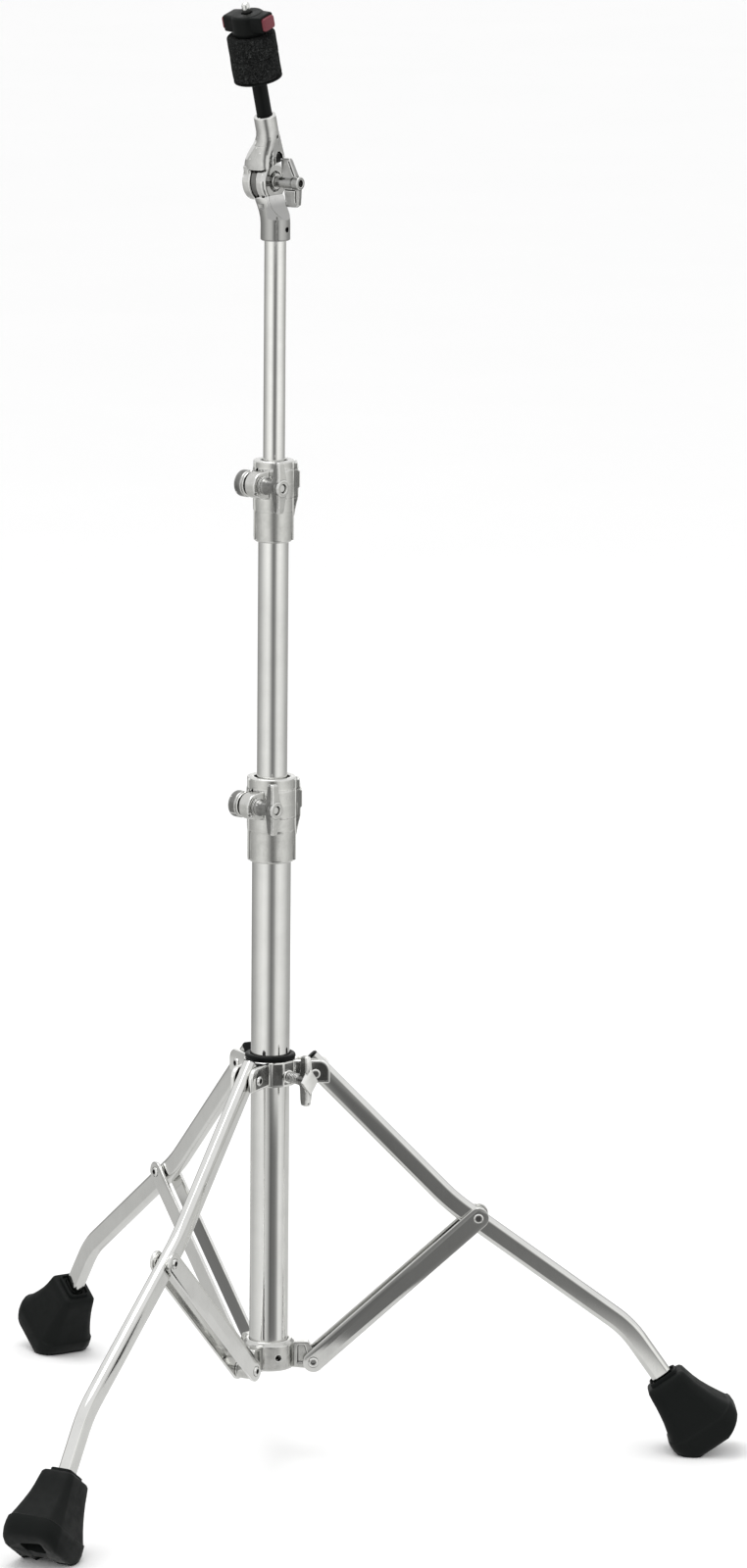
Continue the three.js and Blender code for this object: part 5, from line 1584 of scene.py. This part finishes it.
def tilter_head_form():
    """Upright casting: cheek disc, overhanging shoulder with a flat web, and a round socket for the rod."""
    low = DISC - 2.4
    crown = lofted([
        oval(-8.6, 11.0, 11.4, low, 0.5), oval(-8.5, 11.1, 11.3, DISC + 1.5, 0.5),
        oval(-7.8, 11.0, 10.9, DISC + 5, 0.6), oval(-6.4, 10.6, 10.3, DISC + 8.5, 0.7),
        oval(-4.6, 10.0, 9.7, DISC + 12, 0.8), oval(-2.6, 9.3, 9.1, DISC + 15.5, 0.9),
        oval(-0.9, 8.7, 8.6, DISC + 19, 0.97), oval(0.0, 8.3, 8.3, DISC + 22),
        oval(ROD_OFFSET, 8.1, 8.1, DISC + 25), oval(ROD_OFFSET, 8.1, 8.1, 50.2),
        oval(ROD_OFFSET, 7.4, 7.4, 51.0),
    ])
    centre = sum(HEAD_DISC) / 2
    half = (HEAD_DISC[1] - HEAD_DISC[0]) / 2
    disc = peg_x(DISC, *HEAD_DISC, 0.9, sides=80)
    cheek = lofted([oval(centre, half, 12.6, 0, 0.45), oval(centre, half, 11.0, DISC, 0.45)])
    sections = [(3.3, -3.8, 6.0, 11.8), (3.7, -3.8, 10.6, DISC + 0.7), (6.5, -0.7, 5.0, 45.2)]
    web = lofted([
        [(-5.0, left, height), (end, left, height), (end, right, height), (-5.0, right, height)]
        for end, left, right, height in sections
    ])
    seam = lofted([oval(-8.6, 14.0, 14.0, 29.6), oval(-8.6, 14.0, 14.0, 30.1)])
    seam = with_cut(seam, lofted([oval(-1.6, 8.9, 8.8, 29.0), oval(-1.6, 8.9, 8.8, 31.0)]))
    clear = moved(peg_x(DISC + 1.4, HEAD_DISC[1], 0.5, sides=80), shift(0, -1.6, -0.5))
    clear = with_added(clear, peg_x(DISC + 0.6, HEAD_DISC[1], 0.5, sides=80),
                       peg_x(13.5, HEAD_DISC[1], 13, sides=80))
    parting = block((HEAD_DISC[0] - 1, -DISC - 1, 5.1), (HEAD_DISC[1] + 1, -12.9, 5.6))
    mark = moved(turned(rod(1, -1, 1), 24), Matrix.Diagonal((1.7, 1.5, 0.8, 1)), shift(-16.2, -10.6, -10.4))
    hollow = moved(plate(TILTER_POCKET, -9, -1), turn(90, "Z"))
    bolt = peg_x(BOLT_HOLE, -24, -10)
    pocket = peg_x(5.7, -24, HEAD_DISC[0] + 3.6, sides=6)
    bore = moved(turned(rod(BOLT_HOLE, 23.7, 60)), shift(ROD_OFFSET))
    mouth = moved(turned(rod(5.8, 39.7, 60)), shift(ROD_OFFSET))
    pin_hole = moved(peg_x(1.5, 2.5, 13), shift(0, 1.5, 34))
    body = with_added(with_cut(with_added(crown, web), clear), disc, cheek)
    return cast(with_cut(body, bolt, pocket, bore, mouth, pin_hole, seam, parting, mark, hollow), 0.72, 1)


def tilter_bolt_form():
    """The tilter's bolt with its wing."""
    end = 22.6
    stem = turned_along_x([
        (0, -19.3), (3.0, -19.3), (3.0, 1.8), (4.2, 1.8, 0.4), (4.2, end - 7), (4.8, end - 5, 1.0),
        (4.8, end, 0.8), (0, end),
    ], 64)
    blade = blade_form([
        (0.0, 7.0, end - 0.6, 2.9), (4.0, 6.8, end - 2.6, 2.5), (10.0, 6.4, end - 5.6, 2.2),
        (16.2, 6.0, end - 8.6, 2.0), (17.4, 6.8, end - 9.6, 1.4),
    ], 0.4, [
        (0.0, 7.0, end - 0.6, 2.9), (4.0, 8.6, end - 0.6, 2.5), (10.0, 9.6, end - 0.6, 2.2),
        (15.6, 9.8, end - 1.0, 2.0), (17.4, 10.4, end - 3.4, 1.4),
    ])
    hole = peg_x(2.6, end - 5, end + 2)
    lines = []
    for outline in ([(end - 5.4, 5.2), (end - 4.0, 5.2), (end - 9.2, 15.4), (end - 10.6, 15.4)],
                    [(end - 3.6, -5.2), (end - 2.7, -5.2), (end - 2.7, -14.0), (end - 3.6, -14.0)],
                    [(9.6, -4.7), (end - 3.6, -4.7), (end - 3.6, -5.6), (10.0, -5.6)]):
        lines += [plate(outline, side * 1.3, side * 4.0) for side in (-1, 1)]
    return cast(with_cut(with_added(stem, blade), hole, *lines), 0.6, 1)


class STAND_OT_tilter(bpy.types.Operator):
    """Build the tilter: both castings, friction disc, barrel nut, washer, set screw and wing bolt"""

    bl_idname = "stand.tilter"
    bl_label = "Tilter"

    def execute(self, context):
        # Both tilter castings turn darker low on the neck: a painted dark reflection
        finish_piece("tilter_base_casting", tilter_base_form(), hinge_frame(), "Tilter casting",
                     "tilter_base")
        finish_piece("tilter_head_casting", tilter_head_form(), head_frame(), "Tilter casting", "tilter_head")
        friction = tube_profile(BOLT_HOLE, 13.25, HEAD_DISC[1] + FIT, BASE_DISC[0] - FIT, 0.4)
        finish_piece("tilter_friction_ring", turned_along_x(friction, 80), hinge_frame(), "As-cast face",
                     "tilter_friction_disc", slot="satin_cast")
        # Near-black panel in the head's pocket: painted shade
        finish_piece("tilter_head_pocket", tilter_pocket_shade_form(), head_frame(), "Shaded casting",
                     "tilter_head", smooth=30, slot="satin_cast")
        washer = turned_along_x(tube_profile(BOLT_HOLE, 5.6, 0.3, 1.5, 0.3), 48)
        finish_piece("tilter_washer_ring", washer, hinge_frame(), "Screw steel", "tilter_washer")
        nut = turned_along_x(tube_profile(BOLT_HOLE, 5.35, HEAD_DISC[0] + FIT, HEAD_DISC[0] + 3.3, 0.3), 6)
        finish_piece("tilter_nut", nut, head_frame(), "Screw steel", "tilter_barrel_nut", smooth=25)
        screw = set_screw_form(8.3, 9.3)
        # The set screw sits deep in its hole; its near-black colour is painted shade
        finish_piece("tilter_set_screw_socket", screw, hinge_frame() @ shift(0, 0, -34), "Shaded casting",
                     "tilter_set_screw")
        finish_piece("tilter_bolt_wing", tilter_bolt_form(), hinge_frame(), "Wing casting",
                     "tilter_wing_bolt")
        return {"FINISHED"}


# Cymbal rod, sleeve and seat
class STAND_OT_rod(bpy.types.Operator):
    """Build the round-ended rod, its black sleeve and the seat under the felts"""

    bl_idname = "stand.rod"
    bl_label = "Cymbal rod"

    def execute(self, context):
        place = rod_frame()
        rows = [(0, 24.0), (3.0, 24.0), (3.0, 116.0)]
        for index in range(8):
            rows.append((2.72, 116.5 + index))
            rows.append((3.0, 117.0 + index))
        rows += [(2.98, 133.6), (2.9, 134.3), (2.45, 135.1), (1.6, 135.65), (0.7, 135.9), (0, 135.9)]
        finish_piece("cymbal_rod_threaded", turned(rows, 48), place, "Polished chrome", "cymbal_rod",
                     smooth=30)
        sleeve = turned([
            (BOLT_HOLE, 40.0), (5.5, 40.0), (5.5, 77.5, 0.3), (4.6, 77.5), (4.6, 100.0, 0.4),
            (BOLT_HOLE, 100.0),
        ], 64)
        finish_piece("rod_sleeve_tube", sleeve, place, "Black plastic", "rod_sleeve")
        seat = turned([
            (4.9, 77.8), (14.6, 77.8), (17.45, 78.5, 0.6), (17.45, 79.9, 0.4), (4.9, 79.9),
        ], 96)
        finish_piece("felt_seat_cup", seat, place, "Black plastic", "felt_seat")
        return {"FINISHED"}


# Felts
def felt_form(radius, low, high, fuzz, seed, low_edge, high_edge):
    """A pressed felt ring with soft rims, a little uneven all round."""
    bore = 4.95
    rows = [(bore, low, 0.5), (radius - 0.1, low, low_edge)]
    rows += [(radius, low + (high - low) * share) for share in (0.2, 0.5, 0.8)]
    rows += [(radius - 0.1, high, high_edge), (bore, high, 0.5)]
    mesh = turned(rows, 200)
    for vertex in mesh.vertices:
        angle = math.atan2(vertex.co.y, vertex.co.x)
        swell = math.sin(3 * angle + seed) * 0.5 + math.sin(7 * angle + 1.7 * seed + vertex.co.z * 0.6) * 0.3
        swell += math.sin(13 * angle - vertex.co.z * 1.3) * 0.2
        share = max(0.0, (vertex.co.xy.length - 10) / 7.6)
        inward = 1 - mm(fuzz) * share * (1 + swell) / radius
        vertex.co.x *= inward
        vertex.co.y *= inward
    return mesh


class STAND_OT_felts(bpy.types.Operator):
    """Build the lower and the upper felt"""

    bl_idname = "stand.felts"
    bl_label = "Felts"

    def execute(self, context):
        sizes = context.scene.felt_sizes
        radius = mm(sizes.radius)
        pads = [("lower_felt", 80.2, 96.0, 0.4, 1.0, 0.25), ("upper_felt", 96.3, 112.1, 2.1, 0.25, 1.1)]
        for name, low, high, seed, low_edge, high_edge in pads:
            form = felt_form(radius, low, high, sizes.fuzz, seed, low_edge, high_edge)
            pad = finish_piece(f"{name}_pad", form, rod_frame(), "Wool felt", name, smooth=60)
        return {"FINISHED"}


# Quick-release nut
def lobe_outline(grow=0.0):
    """The two lobes that hold the buttons, from above, with flat ends."""
    end = 17.1 + grow
    flat = 7.3 + grow
    root = 9.9 + grow
    return rounded_path([
        (end, -flat, 1.5), (end, flat, 1.5), (0, root), (-end, flat, 1.5), (-end, -flat, 1.5), (0, -root),
    ], 6)


class STAND_OT_quick_nut(bpy.types.Operator):
    """Build the quick-release nut and its two crimson buttons"""

    bl_idname = "stand.quick_nut"
    bl_label = "Quick-release nut"

    def execute(self, context):
        rings = []
        for height, grow in ((115.4, -0.9), (115.8, -0.35), (116.4, 0.0), (126.4, 0.0), (127.2, -0.5),
                             (127.6, -1.3)):
            rings.append([(x, y, height) for x, y in lobe_outline(grow)])
        skirt = turned([
            (0, 112.5), (12.0, 112.5, 0.5), (12.4, 115.2, 0.3), (12.1, 116.2), (12.1, 126.6, 1.0),
            (10.6, 128.0, 1.2), (0, 128.0),
        ], 96)
        dish = turned([(0, 126.9), (4.1, 126.9, 0.3), (4.5, 129.0), (0, 129.0)], 48)
        bore = turned(rod(BOLT_HOLE, 110, 130), 48)
        pockets = [
            block((min(side * 12.2, side * 20), -6.5, 116.3), (max(side * 12.2, side * 20), 6.5, 126.3))
            for side in (-1, 1)
        ]
        body = bevelled(with_cut(with_added(lofted(rings), skirt), dish, bore, *pockets), 0.25, 2, 35)
        place = rod_frame()
        finish_piece("quick_nut_body", body, place, "Black plastic", "quick_release_nut")
        for label, side in (("left", -1), ("right", 1)):
            rows = []
            for out, share in ((14.2, 1.0), (18.0, 1.0), (18.7, 0.965), (19.05, 0.89), (19.15, 0.74)):
                rows.append([(side * out, wide, 121.3 + up)
                             for wide, up in rounded_box(6.1 * share, 4.65 * share, 1.8)])
            finish_piece(f"quick_nut_button_{label}", lofted(rows), place, "Crimson plastic",
                         f"nut_button_{label}")
        return {"FINISHED"}


# Camera, floor, lights and the light tent that the chrome reflects
PHOTO_WIDTH = 762
PHOTO_HEIGHT = 1600
FOCAL_PIXELS = 7444.0
CAMERA_SPOT = (1.7, -5200.0, 1541.0)
CAMERA_YAW = 0.794
CAMERA_PITCH = 11.287
CAMERA_ROLL = 0.516
STAND_TURN = 0.97


def photo_camera():
    """The camera of the photograph, in the stand's frame."""
    yaw, pitch, roll = (math.radians(value) for value in (CAMERA_YAW, CAMERA_PITCH, CAMERA_ROLL))
    forward = Vector((math.sin(yaw) * math.cos(pitch), math.cos(yaw) * math.cos(pitch), -math.sin(pitch)))
    level = Vector((math.cos(yaw), -math.sin(yaw), 0))
    upright = level.cross(forward)
    right = level * math.cos(roll) + upright * math.sin(roll)
    up = upright * math.cos(roll) - level * math.sin(roll)
    axes = Matrix((right, up, -forward)).transposed().to_4x4()
    data = bpy.data.cameras.new("Photo camera")
    data.sensor_fit = "AUTO"
    data.sensor_width = 36.0
    data.lens = FOCAL_PIXELS * data.sensor_width / max(PHOTO_WIDTH, PHOTO_HEIGHT)
    data.clip_end = 60.0
    camera = placed_object("Photo camera", data)
    spot = Matrix.Translation(Vector(CAMERA_SPOT) * MILLIMETRE)
    axis = tube_axis() * MILLIMETRE
    camera.matrix_world = Matrix.Translation(axis) @ turn(-STAND_TURN, "Z") @ spot @ axes
    bpy.context.scene.camera = camera


def area_light(name, spot, aim, size, power):
    data = bpy.data.lights.new(name, "AREA")
    data.shape = "RECTANGLE"
    data.size = size
    data.size_y = size
    data.energy = power
    light = placed_object(name, data)
    light.location = spot
    light.rotation_euler = (Vector(aim) - Vector(spot)).to_track_quat("-Z", "Y").to_euler()


def pale_floor_material():
    colour = (0.975, 0.975, 0.975)
    material, tree, shader = new_material("Pale floor", colour, {"Specular IOR Level": 0.2, "Roughness": 0.7})
    mottle = noise(tree, on_object(tree), 3.0, 3.0)
    fill_inputs(tree, shader, {"Base Color": layered(tree, mottle, tone(colour, 0.99), tone(colour, 1.01))})
    return material


def level_ramp(tree, bearing, levels):
    """Grey levels around the stand from (degrees, level) stops, the first two its ends."""
    ramp = add_node(tree, "ShaderNodeValToRGB", {"Fac": bearing})
    stops = ramp.color_ramp.elements
    for index, (degrees, level) in enumerate(levels):
        spot = (degrees + 180) / 360
        stop = stops[index] if index < 2 else stops.new(spot)
        stop.position = spot
        stop.color = (level, level, level * 0.985, 1.0)
    return ramp.outputs["Color"]


def reach_of(tree, vector):
    return drawn(tree, "ShaderNodeVectorMath", "Value", {0: vector}, operation="LENGTH")


def tent_material():
    """Light tent: softboxes to both sides, a dim gap behind the camera, and a floor that darkens outwards."""
    material = bpy.data.materials.new("Light tent")
    material.use_nodes = True
    tree = material.node_tree
    tree.nodes.clear()
    place = on_object(tree)
    along = add_node(tree, "ShaderNodeSeparateXYZ", {"Vector": place}).outputs
    forward = maths(tree, "MULTIPLY", along["Y"], -1.0)
    bearing = ranged(tree, maths(tree, "ARCTAN2", along["X"], forward), -math.pi, math.pi)
    level = drawn(tree, "ShaderNodeVectorMath", "Vector", {0: place, 1: (1.0, 1.0, 0.0)},
                  operation="MULTIPLY")
    near = ranged(tree, reach_of(tree, level), NEAR_REACH, NEAR_REACH + 0.03, smooth=True)
    far = ranged(tree, reach_of(tree, place), 1.2, 1.6, smooth=True)
    inner = layered(tree, near, (0.8, 0.8, 0.79), level_ramp(tree, bearing, NEAR_LEVELS))
    outer = layered(tree, far, inner, level_ramp(tree, bearing, TENT_LEVELS))
    lift = ranged(tree, along["Z"], 0.4, 0.6, 1.0, 1.2, smooth=True)
    deepened = drawn(tree, "ShaderNodeGamma", "Color", {"Color": outer, "Gamma": lift})
    strength = maths(tree, "MULTIPLY", lift, bpy.context.scene.studio_settings.tent)
    glow = drawn(tree, "ShaderNodeEmission", "Emission", {"Color": deepened, "Strength": strength})
    add_node(tree, "ShaderNodeOutputMaterial", {"Surface": glow})
    return material


TENT_FLOOR = 0.03
NEAR_REACH = 0.295
TENT_RADIUS = 2.4
TENT_HEIGHT = 0.9
FLOOR_REACH = 30.0
# Brightness of the tent by bearing from the camera's side, degrees to the right
TENT_LEVELS = [
    (-180, 0.85), (180, 1.45), (-167, 0.8), (-160, 0.42), (-145, 0.35), (-100, 0.6), (-70, 0.92), (-45, 1.08),
    (-28, 0.96), (-15, 0.55), (0, 0.22), (15, 0.38), (30, 0.9), (48, 1.06), (75, 0.9), (110, 0.55),
    (160, 0.42), (167, 1.4),
]
# The same for the floor near the stand, which the legs and the brace bars reflect
NEAR_LEVELS = [
    (-180, 0.85), (180, 1.3), (-167, 0.8), (-160, 0.6), (-110, 0.65), (-80, 0.82), (-50, 1.0), (-28, 0.85),
    (-14, 0.68), (-4, 0.4), (3, 0.15), (15, 0.19), (30, 0.23), (43, 0.42), (53, 0.9), (64, 1.0), (90, 0.75),
    (160, 0.7), (167, 1.25),
]


def light_tent():
    """A round wall and the ring of floor inside it, which only show in what the metal reflects."""
    sides = 72
    rows = [(TENT_FLOOR, 0.002), (TENT_RADIUS, 0.002), (TENT_RADIUS, TENT_HEIGHT)]
    points = []
    for radius, height in rows:
        for side in range(sides):
            angle = 2 * math.pi * side / sides
            points.append((radius * math.cos(angle), radius * math.sin(angle), height))
    faces = []
    for low in range(0, sides * (len(rows) - 1), sides):
        for side in range(sides):
            after = (side + 1) % sides
            faces.append((low + side, low + after, low + sides + after, low + sides + side))
    tent = stage_piece("Light tent", points, faces, tent_material())
    tent.location = tube_axis() * MILLIMETRE
    tent.visible_camera = False
    tent.visible_shadow = False
    tent.visible_diffuse = False


def stage_piece(name, points, faces, material):
    mesh = bpy.data.meshes.new(name)
    mesh.from_pydata(points, [], faces)
    mesh.materials.append(material)
    piece = placed_object(name, mesh)
    return piece


class STAND_OT_studio(bpy.types.Operator):
    """Set the camera, the pale floor, the light tent and the soft lights"""

    bl_idname = "stand.studio"
    bl_label = "Studio"

    def execute(self, context):
        scene = context.scene
        settings = scene.studio_settings
        scene.view_settings.view_transform = "Standard"
        world = bpy.data.worlds.new("White surround")
        world.use_nodes = True
        surround = world.node_tree.nodes["Background"]
        surround.inputs["Color"].default_value = (1.0, 1.0, 1.0, 1.0)
        surround.inputs["Strength"].default_value = settings.surround
        scene.world = world
        photo_camera()
        signs = [(-1, -1), (1, -1), (1, 1), (-1, 1)]
        corners = [(along * FLOOR_REACH, across * FLOOR_REACH, 0) for along, across in signs]
        stage_piece("Floor", corners, [(0, 1, 2, 3)], pale_floor_material())
        light_tent()
        axis = tube_axis() * MILLIMETRE
        area_light("Overhead light", (axis.x - 0.5, 0.1, 2.9), (axis.x, 0.0, 0.4), 1.6, settings.key_light)
        return {"FINISHED"}


OPERATORS = (
    STAND_OT_tubes, STAND_OT_hub, STAND_OT_legs, STAND_OT_braces, STAND_OT_pivot_screws, STAND_OT_boots,
    STAND_OT_collar, STAND_OT_clamps, STAND_OT_tilter, STAND_OT_rod, STAND_OT_felts, STAND_OT_quick_nut,
    STAND_OT_studio,
)
SETTINGS = {
    "tube_sizes": TubeSizes, "leg_sizes": LegSizes, "screw_sizes": ScrewSizes, "casting_sizes": CastingSizes,
    "felt_sizes": FeltSizes, "finish_colours": FinishColours, "studio_settings": StudioSettings,
}


class STAND_PT_sidebar(bpy.types.Panel):
    """Lists the stand's pieces, sizes and colours"""

    bl_idname = "STAND_PT_sidebar"
    bl_label = "Cymbal stand"
    bl_space_type = "VIEW_3D"
    bl_region_type = "UI"
    bl_category = "Cymbal stand"

    def draw(self, context):
        for operator in OPERATORS:
            self.layout.operator(operator.bl_idname)
        for name, group in SETTINGS.items():
            box = self.layout.box()
            values = getattr(context.scene, name)
            for label in group.__annotations__:
                box.prop(values, label)


def register():
    for group in SETTINGS.values():
        bpy.utils.register_class(group)
    for name, group in SETTINGS.items():
        setattr(bpy.types.Scene, name, bpy.props.PointerProperty(type=group))
    for operator in OPERATORS:
        bpy.utils.register_class(operator)
    bpy.utils.register_class(STAND_PT_sidebar)


def unregister():
    bpy.utils.unregister_class(STAND_PT_sidebar)
    for operator in reversed(OPERATORS):
        bpy.utils.unregister_class(operator)
    for name, group in SETTINGS.items():
        delattr(bpy.types.Scene, name)
        bpy.utils.unregister_class(group)


def main():
    register()
    for operator in OPERATORS:
        group, action = operator.bl_idname.split(".")
        getattr(getattr(bpy.ops, group), action)()


if __name__ == "__main__":
    main()
